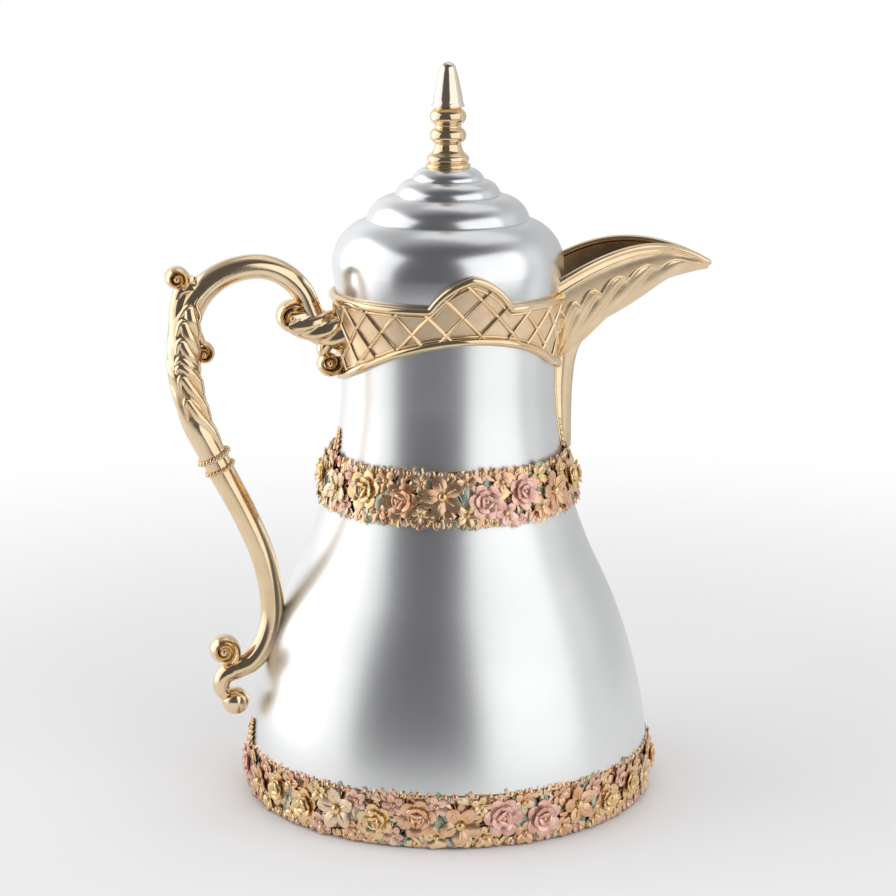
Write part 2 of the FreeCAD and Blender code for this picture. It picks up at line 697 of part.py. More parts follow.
def lattice_panels():
    """Sunk diamond panels, leaving raised lattice bars and a plain border round the collar."""
    count, bar = int(d.lattice_count.value), float(d.lattice_bar)
    floor_r = float(COLLAR_R + d.collar_wall - d.lattice_deep)
    half_w = math.pi * float(COLLAR_R + d.collar_wall) / count - bar
    half_h = float(d.lattice_tall) / 2 - bar
    middle = float(TOP + d.lattice_z)
    tilt = math.degrees(math.atan2(float(d.collar_lean), float(d.collar_rim - d.collar_lean_z)))
    panels = []
    for row in range(-3, 4):
        z = middle + row * float(d.lattice_tall) / 2
        lean = tilt if z > float(TOP + d.collar_lean_z) else 0.0
        out = math.tan(math.radians(lean)) * (z - float(TOP + d.collar_lean_z))
        rim = [Vector(0, -half_w, 0), Vector(0, 0, -half_h), Vector(0, half_w, 0), Vector(0, 0, half_h)]
        diamond = Part.Face(Part.makePolygon(rim + rim[:1])).extrude(Vector(8, 0, 0))
        for i in range(count):
            turn = 360.0 * (i + (0.5 if row % 2 else 0.0)) / count
            place = FreeCAD.Placement(Vector(floor_r + out, 0, z), Rotation(Vector(0, 1, 0), lean))
            one = diamond.copy()
            spun = FreeCAD.Placement(Vector(0, 0, 0), Rotation(Vector(0, 0, 1), turn))
            one.Placement = spun.multiply(place)
            panels.append(one)
    zone_r = COLLAR_R + d.collar_wall - d.lattice_deep * 1.5
    zone = collar_blank("lattice_zone", d.collar_border, zone_r, d.lattice_deep * 4)
    return [panel.common(zone.Shape) for panel in panels]


def make_collar():
    blank = collar_blank("collar_band", d.collar_wall * 0, COLLAR_R, d.collar_wall)
    panels = [solid for panel in lattice_panels() for solid in panel.Solids if solid.Volume > 0.5]
    return feature("pierced_collar", largest(blank.Shape.cut(panels)))


pierced_collar = make_collar()
collar_envelope = lathe("collar_envelope", [
    (0, TOP - d.collar_hang - d.glue_gap),
    (d.neck_r + d.collar_fit + d.collar_wall + d.glue_gap, TOP - d.collar_hang - d.glue_gap),
    (d.neck_r + d.collar_fit + d.collar_wall + d.glue_gap, TOP + d.collar_lean_z),
    (FLARE_R + d.collar_wall + d.glue_gap, CREST),
    (FLARE_R + d.collar_wall + d.glue_gap, CREST + 20),
    (0, CREST + 20),
])


# Spout: a beak-shaped trough with a tail that runs down the neck

def along(low, high, share):
    return low + (high - low) * share


def spout_line(share):
    """Underside, rim and half width of the spout at a share of its length, and the floor of its channel."""
    tip_floor = float(TOP + d.spout_tip_z - d.spout_tip_deep)
    fall = (1 - share) ** 1.6
    under = along(tip_floor, float(TOP + d.spout_root_low), fall)
    floor = along(tip_floor + float(d.spout_wall), float(TOP + d.window_low), fall)
    crest, top = 0.55, float(TOP + d.spout_top_z)
    if share < crest:
        rim = along(float(TOP + d.spout_root_rim), top, math.sin(math.pi / 2 * share / crest))
    else:
        rim = along(top, float(TOP + d.spout_tip_z), ((share - crest) / (1 - crest)) ** 2)
    narrow = 0.5 + 0.5 * math.cos(math.pi * share**1.5)
    half = along(float(d.spout_tip_half), float(d.spout_half), narrow)
    return under, rim, half, floor


def trough(x, floor, rim, half):
    """A rounded section across the spout at x, closed by a straight line along the rim."""
    shares = [(-1.0, 1.0), (-0.84, 0.45), (-0.44, 0.1), (0.0, 0.0), (0.44, 0.1), (0.84, 0.45), (1.0, 1.0)]
    spots = [Vector(x, half * across, along(floor, rim, up)) for across, up in shares]
    bend = Part.BSplineCurve()
    bend.interpolate(spots)
    return Part.Wire([bend.toShape(), Part.LineSegment(spots[-1], spots[0]).toShape()])


def make_spout():
    root, tip, wall = float(d.neck_r), float(d.spout_reach), float(d.spout_wall)
    outside, inside = [], []
    steps = 10
    for i in range(steps + 1):
        share = i / steps
        under, rim, half, floor = spout_line(share)
        x = along(root, tip, share)
        outside.append(trough(x, under, rim, half))
        past = 1.0 if i == steps else 0.0
        inside.append(trough(x + past, floor, rim + 0.6, half - wall))
    trunk = Part.makeLoft(outside, True)
    channel = Part.makeLoft(inside, True)
    whole = trunk.fuse(make_spout_tail()).cut(channel)
    return feature("spout", largest(whole.cut([shell_envelope.Shape, collar_envelope.Shape])))


def make_spout_tail():
    """The tapered keel under the spout that runs down the neck to a point above the waist band."""
    foot, head = float(TOP - d.keel_drop), float(TOP + d.keel_head)
    sections = []
    for share in (0.0, 0.2, 0.4, 0.6, 0.8, 0.9, 1.0):
        z = along(foot, head, share)
        stand = along(float(d.keel_tip_proud), float(d.keel_proud), share**0.6)
        stand += float(d.keel_flare) * share**8
        half = along(float(d.keel_tip_half), float(d.keel_half), share)
        inner = shell_r(z) - 3.0
        outer = shell_r(z) + stand
        nose = Part.BSplineCurve()
        nose.interpolate([
            Vector(inner, -half, z),
            Vector(outer - stand * 0.35, -half * 0.8, z),
            Vector(outer, 0, z),
            Vector(outer - stand * 0.35, half * 0.8, z),
            Vector(inner, half, z),
        ])
        back = Part.LineSegment(Vector(inner, half, z), Vector(inner, -half, z))
        sections.append(Part.Wire([nose.toShape(), back.toShape()]))
    return Part.makeLoft(sections, True)


spout = make_spout()


# Handle: an arched grip with scrolls, cast in one piece

def touch_x():
    """Distance from the pot's axis to the handle's centre line where it meets the shell."""
    return shell_r(float(d.foot_touch_z)) + float(d.grip_half - d.foot_bite)


def arch_end():
    """Where the arch comes down into the arm, measured from the pot's axis."""
    return float(COLLAR_R + d.collar_wall + d.arm_len * 0.45)


def handle_line():
    """Centre line of the grip in the XZ plane: arch, upright, S-shaped shaft and the sweep of the foot."""
    points = []
    arch_x, reach = float(d.arch_x), float(d.grip_reach)
    top, spring = float(TOP + d.arch_top), float(TOP + d.arch_spring)
    for angle in (15, 40, 65, 90, 115, 140, 165):
        turn = math.radians(angle)
        span = arch_x - arch_end() if angle < 90 else reach - arch_x
        points.append(Vector(-arch_x + span * math.cos(turn), 0, along(spring, top, math.sin(turn))))
    low, touch = float(TOP - d.grip_drop), float(d.foot_touch_z)
    points.append(Vector(-reach, 0, along(spring, low, 0.5)))
    for share in (0.0, 0.2, 0.4, 0.6, 0.8):
        bent = share**0.92
        swing = bent * bent * (3 - 2 * bent)
        points.append(Vector(-along(reach, touch_x(), swing), 0, along(low, touch, share)))
    for angle in (0, 30, 60, 90):
        turn = math.radians(angle)
        x = along(float(d.foot_out), touch_x(), math.cos(turn))
        points.append(Vector(-x, 0, along(touch, float(d.foot_z), math.sin(turn))))
    return points


def oval(centre, along_dir, in_plane, across):
    """An ellipse round a centre, square to a direction in the XZ plane."""
    side = Vector(0, 1, 0).cross(along_dir).normalize()
    wide = across >= in_plane
    major, minor = side * in_plane, Vector(0, 1, 0) * across
    if wide:
        major, minor = minor, major
    return Part.Wire(Part.Ellipse(centre + major, centre + minor, centre).toShape())


def sweep(points, sizes):
    """A solid through ovals along a line, with (in plane, across) half thicknesses at each point."""
    curve = Part.BSplineCurve()
    curve.interpolate(points)
    ovals = []
    for point, (in_plane, across) in zip(points, sizes):
        ovals.append(oval(point, curve.tangent(curve.parameter(point))[0], in_plane, across))
    return Part.makeLoft(ovals, True)


def make_grip():
    points = handle_line()
    half, side = float(d.grip_half), float(d.grip_side)
    sizes = []
    for i in range(len(points)):
        share = i / (len(points) - 1)
        leaf = math.exp(-(((share - 0.42) / 0.13) ** 2))
        ends = 0.84 + 0.16 * math.sin(math.pi * share)
        sizes.append((half * (ends + float(d.leaf_swell) * leaf), side * (ends + 0.2 * leaf)))
    return sweep(points, sizes)


def scroll(x, z, radius, half):
    """A round scroll with a raised eye on both faces, its axis across the handle."""
    lip = radius * 0.25
    drum = Part.makeCylinder(radius, 2 * half, Vector(-x, -half, z), Vector(0, 1, 0))
    drum = drum.makeChamfer(lip, drum.Edges[:1] + drum.Edges[2:])
    eye = Part.makeCylinder(radius * 0.35, 2 * half + 2.4, Vector(-x, -half - 1.2, z), Vector(0, 1, 0))
    return drum.fuse(eye)


def lip(points, start, end, across):
    """A short curled leaf from one of the scrolls, tapering to its tip."""
    steps = len(points) - 1
    sizes = [(along(start, end, i / steps), along(across, end * 1.3, i / steps)) for i in range(len(points))]
    return sweep(points, sizes)


def make_arm():
    """The bracket from the collar to the arch."""
    root_x = float(COLLAR_R - 4)
    z = float(TOP + d.arm_root_z)
    points = []
    sizes = []
    for share in (0.0, 0.35, 0.7, 1.0):
        x = along(root_x, float(COLLAR_R + d.collar_wall + d.arm_len), share)
        points.append(Vector(-x, 0, z + float(d.arm_rise) * share**1.4))
        half = along(float(d.arm_root_half), float(d.grip_half), share)
        sizes.append((half, along(float(d.arm_side), float(d.grip_side), share)))
    return sweep(points, sizes)


def make_handle():
    big, small = float(d.scroll_r), float(d.small_scroll_r)
    half = float(d.scroll_half)
    reach, top = float(d.grip_reach), float(TOP + d.arch_top)
    out, foot_z = float(d.foot_out), float(d.foot_z)
    pieces = [make_arm()]
    arm_x = float(COLLAR_R + d.collar_wall + d.arm_len)
    pieces.append(scroll(arm_x - 1.0, float(TOP + d.arm_root_z + d.arm_rise), small + 1.0, half + 1.0))
    pieces.append(scroll(reach + 1.0, top - 5.0, small, half))
    curl = [
        Vector(-reach + 8.0, 0, top - 9.0),
        Vector(-reach - 1.0, 0, top - 3.0),
        Vector(-reach - 6.0, 0, top + 0.5),
    ]
    pieces.append(lip(curl, small, 1.2, half))
    pieces.append(scroll(reach - 8.0, float(TOP - 2.0), small - 1.0, half))
    pieces.append(scroll(out + 3.0, foot_z + 8.5, big - 0.5, half))
    flick = [
        Vector(-out - 1.0, 0, foot_z + 9.0),
        Vector(-out - 7.0, 0, foot_z + 13.0),
        Vector(-out - 9.5, 0, foot_z + 19.0),
    ]
    pieces.append(lip(flick, small, 1.2, half))
    hook = [
        Vector(-out + 2.0, 0, foot_z + 0.5),
        Vector(-out - 4.5, 0, foot_z - 4.0),
        Vector(-out + 0.5, 0, foot_z - 13.0),
    ]
    pieces.append(lip(hook, small, small * 0.7, half))
    pieces.append(Part.makeSphere(big, Vector(-out + 1.5, 0, foot_z - 15.0)))
    casting = make_grip().fuse(pieces)
    holes = [screw_solid(*screw, float(d.handle_screw_gap)) for screw in handle_screws()]
    return feature("handle", largest(casting.cut([shell_envelope.Shape, collar_envelope.Shape] + holes)))


def handle_screws():
    """Seat, outward direction and length of each handle screw: two in the neck, one in the shell."""
    inner = float(SLEEVE_EDGE - d.hook_wall)
    z = float(TOP + d.arm_root_z)
    long = float(COLLAR_R + d.collar_wall + d.handle_screw_in) - inner
    spots = []
    for y in (-float(d.arm_side) / 2, float(d.arm_side) / 2):
        spots.append((Vector(-math.sqrt(inner**2 - y**2), y, z), Vector(-1, 0, 0), long))
    low = float(d.foot_touch_z - d.foot_screw_low)
    slope = (shell_r(low - 1) - shell_r(low + 1)) / 2
    wall = float(d.shell_wall)
    seat = Vector(-shell_r(low) + wall, 0, low)
    spots.append((seat, Vector(-1, 0, slope).normalize(), float(d.foot_screw_in)))
    return spots


def screw_solid(spot, way, long, gap):
    """A pan-head screw with its head inside the wall at spot and its shank running outward, grown by gap."""
    stand = 0.2
    head_h, head_r = float(d.handle_screw_head_h), float(d.handle_screw_head_r) + gap
    head = Part.makeCylinder(head_r, head_h + gap, spot - way * (stand + head_h), way)
    shank = Part.makeCylinder(float(d.handle_screw_r) + gap, long + gap + stand, spot - way * stand, way)
    return head.fuse(shank)


handle = make_handle()
screws = [screw_solid(*screw, 0.0) for screw in handle_screws()]
handle_top_screws = feature("handle_top_screws", Part.makeCompound(screws[:2]))
handle_foot_screw = feature("handle_foot_screw", screws[2])
grown = [screw_solid(*screw, float(d.handle_screw_gap)) for screw in handle_screws()]
screw_holes = feature("screw_holes", Part.makeCompound(grown))


def drilled(label, base):
    """The piece with the handle screws' holes through it."""
    made = doc.addObject("Part::Cut", label)
    made.Base = base
    made.Tool = screw_holes
    return made


outer_shell = drilled("outer_shell", spun_shell)
collar = drilled("collar", pierced_collar)
neck_sleeve = drilled("neck_sleeve", open_sleeve)


# Lid: dome, inner cap, stopper, seal and finial

def dome_side(thin, share):
    """Corners of the dome from its rim to its flat top, inset by thin."""
    back = thin * share
    ease = d.step_h * 0.7

    def crease(radius, height):
        return [(radius + ease - back, RIM + height - back), (radius - back, RIM + height + d.step_h - back)]

    first = crease(d.tier1_r, d.tier1_h)
    second = crease(d.tier2_r, d.tier2_h)
    third = crease(d.tier3_r, d.tier3_h)
    return [
        (LID_RIM_R - thin, RIM),
        (LID_BULGE_R - thin, RIM + d.lid_bulge_h, d.bulge_arc - thin, 1),
        first[0],
        first[1] + (d.tier_arc - thin, 1),
        second[0],
        second[1] + (d.small_tier_arc - thin, 1),
        third[0],
        third[1] + (d.small_tier_arc - thin, 1),
        (d.lid_top_r - back, LID_TOP - thin),
    ]


def make_lid_dome():
    hole = d.stud_r + d.stud_gap
    outside = dome_side(d.lid_wall * 0, 0.7)
    inside = reverse(dome_side(d.lid_wall, 0.7))
    return lathe("lid_dome", outside + [(hole, LID_TOP), (hole, LID_TOP - d.lid_wall)] + inside)


lid_dome = make_lid_dome()
POST_TOP = LID_TOP - d.lid_wall - d.cap_gap
HOLE_LOW = LID_TOP - d.stud_len - 1
CAP_R = LID_RIM_R - d.lid_wall - d.cap_gap
inner_cap = lathe("inner_cap", [
    (0, CAP),
    (CAP_R, CAP),
    (CAP_R, CAP + d.cap_plate_h),
    (d.cap_post_r, CAP + d.cap_plate_h),
    (d.cap_post_r, POST_TOP),
    (d.stud_r + d.stud_gap, POST_TOP),
    (d.stud_r + d.stud_gap, HOLE_LOW),
    (0, HOLE_LOW),
])
SEAL_LOW = SEAT + d.seal_gap
SEAL_TOP = SEAL_LOW + d.seal_h
stopper = lathe("stopper", [
    (0, SEAL_LOW - d.seal_fit - d.nose_h),
    (d.nose_r + d.nose_lip, SEAL_LOW - d.seal_fit - d.nose_h),
    (d.nose_r + d.nose_lip, SEAL_LOW - d.seal_fit),
    (d.nose_r, SEAL_LOW - d.seal_fit),
    (d.nose_r, SEAL_TOP + d.seal_fit),
    (d.sleeve_r - d.stopper_gap, SEAL_TOP + d.seal_fit),
    (d.sleeve_r - d.stopper_gap, CAP - d.stopper_flange_h),
    (d.stopper_flange_r, CAP - d.stopper_flange_h),
    (d.stopper_flange_r, CAP),
    (d.sleeve_r - d.stopper_gap - d.stopper_wall, CAP),
    (d.sleeve_r - d.stopper_gap - d.stopper_wall, SEAL_TOP + d.seal_fit + d.stopper_wall),
    (0, SEAL_TOP + d.seal_fit + d.stopper_wall),
])
stopper_seal = lathe("stopper_seal", [
    (d.nose_r + d.seal_fit, SEAL_LOW),
    (d.nose_r + d.seal_fit + d.seal_w, SEAL_LOW),
    (d.nose_r + d.seal_fit + d.seal_w, SEAL_TOP),
    (d.nose_r + d.seal_fit, SEAL_TOP),
])


def make_finial():
    def up(height):
        return LID_TOP + height

    swell = d.bead_r - d.groove_r
    bead_arc = (d.bead_h * d.bead_h / 4 + swell * swell) / (2 * swell)
    first = d.finial_foot_h + d.groove_h
    second = first + d.bead_h + d.groove_h
    spear = second + d.bead_h
    return lathe("finial", [
        (0, up(0 - d.stud_len)),
        (d.stud_r, up(0 - d.stud_len)),
        (d.stud_r, LID_TOP),
        (d.finial_r, LID_TOP),
        (d.finial_r, up(d.finial_foot_h * 0.25)),
        (d.finial_r * 0.85, up(d.finial_foot_h * 0.5)),
        (d.finial_r * 0.85, up(d.finial_foot_h * 0.8)),
        (d.groove_r, up(d.finial_foot_h)),
        (d.groove_r, up(first), bead_arc, 1),
        (d.groove_r, up(first + d.bead_h)),
        (d.groove_r, up(second), bead_arc, 1),
        (d.groove_r, up(spear)),
        (d.spear_r, up(spear + 0.8)),
        (d.spear_tip_r, up(d.finial_h - d.spear_tip_r * 0.6)),
        (d.spear_tip_r * 0.45, up(d.finial_h)),
        (0, up(d.finial_h)),
    ])


finial = make_finial()
doc.recompute()

PARTS = [
    outer_shell, base_band, waist_band, base_cover, base_screws, anchor_ring, foot_ring,
    liner_cushion, glass_liner, neck_gasket, neck_sleeve, collar, spout, handle,
    handle_top_screws, handle_foot_screw, stopper_seal, stopper, inner_cap, lid_dome, finial,
]

for made in doc.Objects:
    if "Invalid" in made.State or "Error" in made.State:
        raise RuntimeError(f"{made.Name} did not compute: {made.State}")

os.makedirs("parts", exist_ok=True)
for piece in PARTS:
    if piece.Shape.isNull() or not piece.Shape.isValid():
        raise RuntimeError(f"{piece.Label} has no sound shape")
    print(f"{piece.Label}: {len(piece.Shape.Solids)} solid(s), {piece.Shape.Volume / 1000:.2f} cm3")
    piece.Shape.exportStep(f"parts/{piece.Label}.step")
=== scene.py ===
import math
import random

import bmesh
import bpy
from mathutils import Matrix, Vector


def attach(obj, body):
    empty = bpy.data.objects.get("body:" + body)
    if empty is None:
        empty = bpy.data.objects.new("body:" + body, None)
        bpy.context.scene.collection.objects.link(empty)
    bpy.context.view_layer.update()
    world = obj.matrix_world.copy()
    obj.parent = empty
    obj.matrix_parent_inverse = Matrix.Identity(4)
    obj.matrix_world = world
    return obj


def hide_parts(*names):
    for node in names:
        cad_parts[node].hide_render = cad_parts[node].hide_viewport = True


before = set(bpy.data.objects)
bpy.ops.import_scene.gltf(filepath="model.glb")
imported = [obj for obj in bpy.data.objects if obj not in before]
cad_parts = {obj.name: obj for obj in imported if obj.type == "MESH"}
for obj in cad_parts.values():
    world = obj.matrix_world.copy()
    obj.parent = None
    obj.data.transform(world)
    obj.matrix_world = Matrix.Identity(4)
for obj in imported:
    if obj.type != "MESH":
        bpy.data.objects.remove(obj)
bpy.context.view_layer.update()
mm = 0.001
fullTurn = 2 * math.pi
weldGap, fineWeldGap = 0.004, 0.0005  # mm, the second for pieces with fine relief
scene = bpy.context.scene
dice = random.Random(7)
print("frame loaded:", len(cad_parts), "nodes")


# finishes: a clouded colour and a fine grain in the roughness
finishSizes = {"darkAt": 0.3, "lightAt": 0.7, "metalBump": 0.0002, "plasticBump": 0.0003,
               "plasticCloud": 45.0, "cloudDetail": 4.0, "metalDetail": 2.0, "plasticDetail": 3.0}
goldGrain = {"cloud": 90.0, "fine": 500.0}
flowerGrain = {"cloud": 260.0, "fine": 900.0}


def newMaterial(name):
    material = bpy.data.materials.new(name)
    material.use_nodes = True
    tree = material.node_tree
    shader = tree.nodes["Principled BSDF"]
    place = tree.nodes.new("ShaderNodeTexCoord")
    return material, tree, shader, place.outputs["Object"]


def noiseOf(tree, place, scale, detail, stretch=None):
    noise = tree.nodes.new("ShaderNodeTexNoise")
    noise.inputs["Scale"].default_value = scale
    noise.inputs["Detail"].default_value = detail
    if stretch:
        mapping = tree.nodes.new("ShaderNodeMapping")
        mapping.inputs["Scale"].default_value = stretch
        tree.links.new(place, mapping.inputs["Vector"])
        place = mapping.outputs["Vector"]
    tree.links.new(place, noise.inputs["Vector"])
    return noise.outputs["Fac"]


def clouded(tree, place, shader, scale, dark, light, detail=finishSizes["cloudDetail"]):
    # base colour that drifts between two tones
    ramp = tree.nodes.new("ShaderNodeValToRGB")
    stops = ((finishSizes["darkAt"], dark), (finishSizes["lightAt"], light))
    for element, (spot, colour) in zip(ramp.color_ramp.elements, stops):
        element.position = spot
        element.color = (*colour, 1.0)
    tree.links.new(noiseOf(tree, place, scale, detail), ramp.inputs["Fac"])
    tree.links.new(ramp.outputs["Color"], shader.inputs["Base Color"])


def remapped(tree, value, fromSpan=(0.0, 1.0), toSpan=(0.0, 1.0), soft=False):
    remap = tree.nodes.new("ShaderNodeMapRange")
    remap.interpolation_type = "SMOOTHSTEP" if soft else "LINEAR"
    for socket, number in zip(("From Min", "From Max", "To Min", "To Max"), (*fromSpan, *toSpan)):
        remap.inputs[socket].default_value = number
    tree.links.new(value, remap.inputs["Value"])
    return remap.outputs["Result"]


def bumpOf(tree, height, shader, strength, distance):
    bump = tree.nodes.new("ShaderNodeBump")
    bump.inputs["Strength"].default_value = strength
    bump.inputs["Distance"].default_value = distance
    tree.links.new(height, bump.inputs["Height"])
    tree.links.new(bump.outputs["Normal"], shader.inputs["Normal"])


def metalFinish(name, dark, light, rough, grain, metallic=1.0, bump=0.0, coat=0.0):
    material, tree, shader, place = newMaterial(name)
    clouded(tree, place, shader, grain["cloud"], dark, light)
    fine = noiseOf(tree, place, grain["fine"], finishSizes["metalDetail"], grain.get("stretch"))
    tree.links.new(remapped(tree, fine, toSpan=rough), shader.inputs["Roughness"])
    shader.inputs["Metallic"].default_value = metallic
    shader.inputs["Coat Weight"].default_value = coat
    if bump:
        bumpOf(tree, fine, shader, bump, finishSizes["metalBump"])
    return material


def plasticFinish(name, dark, light, rough, speck=400.0, bump=0.15):
    material, tree, shader, place = newMaterial(name)
    clouded(tree, place, shader, finishSizes["plasticCloud"], dark, light)
    fine = noiseOf(tree, place, speck, finishSizes["plasticDetail"])
    tree.links.new(remapped(tree, fine, toSpan=rough), shader.inputs["Roughness"])
    bumpOf(tree, fine, shader, bump, finishSizes["plasticBump"])
    return material


satinSilver = metalFinish("satinSilver", (0.78, 0.79, 0.79), (0.84, 0.85, 0.84), (0.30, 0.36),
                          {"cloud": 25.0, "fine": 160.0, "stretch": (1.0, 1.0, 14.0)}, bump=0.02)
domeSilver = metalFinish("domeSilver", (0.76, 0.77, 0.78), (0.83, 0.84, 0.85), (0.22, 0.28),
                         {"cloud": 30.0, "fine": 220.0, "stretch": (1.0, 1.0, 10.0)}, bump=0.015)
champagneGold = metalFinish("champagneGold", (0.79, 0.59, 0.36), (0.89, 0.71, 0.48), (0.10, 0.18), goldGrain)
paleGold = metalFinish("paleGold", (0.84, 0.72, 0.57), (0.91, 0.82, 0.70), (0.10, 0.18), goldGrain)
latticePanel = metalFinish("latticePanel", (0.83, 0.61, 0.40), (0.92, 0.73, 0.51), (0.36, 0.48),
                           {"cloud": 160.0, "fine": 1800.0}, bump=0.12)
spoutInside = metalFinish("spoutInside", (0.36, 0.23, 0.12), (0.55, 0.37, 0.20), (0.16, 0.28),
                          {"cloud": 80.0, "fine": 500.0})
roseGold = metalFinish("roseGold", (0.66, 0.36, 0.20), (0.92, 0.63, 0.42), (0.18, 0.30), flowerGrain, 0.9)
pinkGold = metalFinish("pinkGold", (0.68, 0.37, 0.30), (0.93, 0.65, 0.55), (0.22, 0.34), flowerGrain, 0.8)
petalGold = metalFinish("petalGold", (0.74, 0.49, 0.23), (0.95, 0.74, 0.46), (0.16, 0.28), flowerGrain, 0.95)
sageLeaf = metalFinish("sageLeaf", (0.20, 0.25, 0.17), (0.47, 0.53, 0.41), (0.24, 0.36), flowerGrain, 0.6)
creamGold = metalFinish("creamGold", (0.75, 0.55, 0.37), (0.89, 0.72, 0.53), (0.22, 0.34), flowerGrain, 0.85)
bandGround = metalFinish("bandGround", (0.18, 0.10, 0.065), (0.37, 0.22, 0.14), (0.30, 0.44),
                         {"cloud": 300.0, "fine": 900.0})
brightSteel = metalFinish("brightSteel", (0.52, 0.52, 0.53), (0.64, 0.64, 0.65), (0.22, 0.36),
                          {"cloud": 120.0, "fine": 700.0})
silveredGlass = metalFinish("silveredGlass", (0.70, 0.71, 0.71), (0.80, 0.81, 0.81), (0.03, 0.07),
                            {"cloud": 20.0, "fine": 80.0}, coat=1.0)
ivoryPlastic = plasticFinish("ivoryPlastic", (0.78, 0.75, 0.69), (0.85, 0.82, 0.76), (0.36, 0.48))
blackRubber = plasticFinish("blackRubber", (0.025, 0.025, 0.025), (0.05, 0.05, 0.05), (0.62, 0.78),
                            700.0, 0.3)
sealRubber = plasticFinish("sealRubber", (0.74, 0.72, 0.68), (0.82, 0.80, 0.76), (0.40, 0.52), 600.0, 0.2)
print("finishes ready")


def finishPiece(bm, name, body, materials, replaced, sharp=35.0, merge=weldGap):
    # pieces are modelled in mm and end in metres
    bmesh.ops.remove_doubles(bm, verts=bm.verts, dist=merge)
    bmesh.ops.recalc_face_normals(bm, faces=bm.faces)
    bmesh.ops.scale(bm, vec=(mm, mm, mm), verts=bm.verts)
    mesh = bpy.data.meshes.new(name)
    bm.to_mesh(mesh)
    bm.free()
    for material in materials:
        mesh.materials.append(material)
    mesh.polygons.foreach_set("use_smooth", [True] * len(mesh.polygons))
    mesh.set_sharp_from_angle(angle=math.radians(sharp))
    piece = bpy.data.objects.new(name, mesh)
    scene.collection.objects.link(piece)
    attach(piece, body)
    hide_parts(*replaced)
    print("piece", name, len(mesh.polygons), "faces")
    return piece


def arcCentre(start, end, radius, side):
    # of an arc that turns left (1) or right (-1) on its way from start to end
    a, b = Vector(start), Vector(end)
    chord = b - a
    left = Vector((-chord.y, chord.x)).normalized()
    return (a + b) / 2 + left * side * math.sqrt(max(radius**2 - chord.length_squared / 4, 0.0))


def arcTo(start, end, radius, side, steps):
    # points after start up to end on that arc
    centre = arcCentre(start, end, radius, side)
    a, b = Vector(start), Vector(end)
    first = math.atan2(a.y - centre.y, a.x - centre.x)
    turn = math.atan2(b.y - centre.y, b.x - centre.x) - first
    if side > 0 and turn < 0:
        turn += fullTurn
    if side < 0 and turn > 0:
        turn -= fullTurn
    angles = [first + turn * i / steps for i in range(1, steps + 1)]
    return [(centre.x + radius * math.cos(v), centre.y + radius * math.sin(v)) for v in angles]


def turnProfile(bm, points, steps, closed=True):
    verts = [bm.verts.new((r, 0.0, z)) for r, z in points]
    pairs = list(zip(verts, verts[1:])) + ([(verts[-1], verts[0])] if closed else [])
    edges = [bm.edges.new(pair) for pair in pairs]
    bmesh.ops.spin(bm, geom=verts + edges, cent=(0, 0, 0), axis=(0, 0, 1), angle=fullTurn, steps=steps,
                   use_merge=True, use_duplicate=False)


def castOf(bm):
    # a small mesh that is stamped, once or many times
    mesh = bpy.data.meshes.new("cast")
    bmesh.ops.recalc_face_normals(bm, faces=bm.faces)
    bm.to_mesh(mesh)
    bm.free()
    return mesh


def stamp(bm, cast, matrix):
    copy = cast.copy()
    copy.transform(matrix)
    bm.from_mesh(copy)
    bpy.data.meshes.remove(copy)


def addPart(bm, part):
    # a part goes into the piece with its normals set right first
    cast = castOf(part)
    bm.from_mesh(cast)
    bpy.data.meshes.remove(cast)


def sweep(bm, frames, section, relief=None):
    # a closed section carried from frame to frame by extruding its edges
    part = bmesh.new()
    verts = [part.verts.new(frames[0] @ Vector((x, y, 0.0))) for x, y in section]
    edges = [part.edges.new((verts[i], verts[(i + 1) % len(verts)])) for i in range(len(verts))]
    part.faces.new(list(reversed(verts)))
    for last, here in zip(frames, frames[1:]):
        made = bmesh.ops.extrude_edge_only(part, edges=edges)["geom"]
        moved = [g for g in made if isinstance(g, bmesh.types.BMVert)]
        fresh = set(moved)
        edges = [g for g in made if isinstance(g, bmesh.types.BMEdge) and all(v in fresh for v in g.verts)]
        bmesh.ops.transform(part, matrix=here @ last.inverted(), verts=moved)
    bmesh.ops.edgeloop_fill(part, edges=edges)
    if relief:  # carve the swept surface, ring by ring
        part.verts.ensure_lookup_table()
        for i, spot in enumerate(frames):
            for k in range(len(section)):
                vert = part.verts[i * len(section) + k]
                vert.co = spot.translation + (vert.co - spot.translation) * relief(i, k)
    addPart(bm, part)


def frameAt(place, ahead, side, wide, deep):
    # section x runs along side, section y across both
    ahead = Vector(ahead).normalized()
    side = (Vector(side) - ahead * Vector(side).dot(ahead)).normalized()
    across = ahead.cross(side)
    turned = Matrix((side * wide, across * deep, ahead)).transposed().to_4x4()
    turned.translation = Vector(place)
    return turned


def roundSection(count):
    return [(math.cos(fullTurn * i / count), math.sin(fullTurn * i / count)) for i in range(count)]


def aheadAt(points, i):
    # direction of a line of points at one of them
    return Vector(points[min(i + 1, len(points) - 1)]) - Vector(points[max(i - 1, 0)])


def pathFrames(points, side, wides, deeps):
    return [frameAt(place, aheadAt(points, i), side, wides[i], deeps[i]) for i, place in enumerate(points)]


def surfaceFrames(points, wide, deep):
    # frames along a line on a round wall, section y pointing away from the axis
    frames = []
    for i, place in enumerate(points):
        ahead = aheadAt(points, i)
        out = Vector((place.x, place.y, 0.0)).normalized()
        frames.append(frameAt(place, ahead, out.cross(ahead), wide, deep))
    return frames


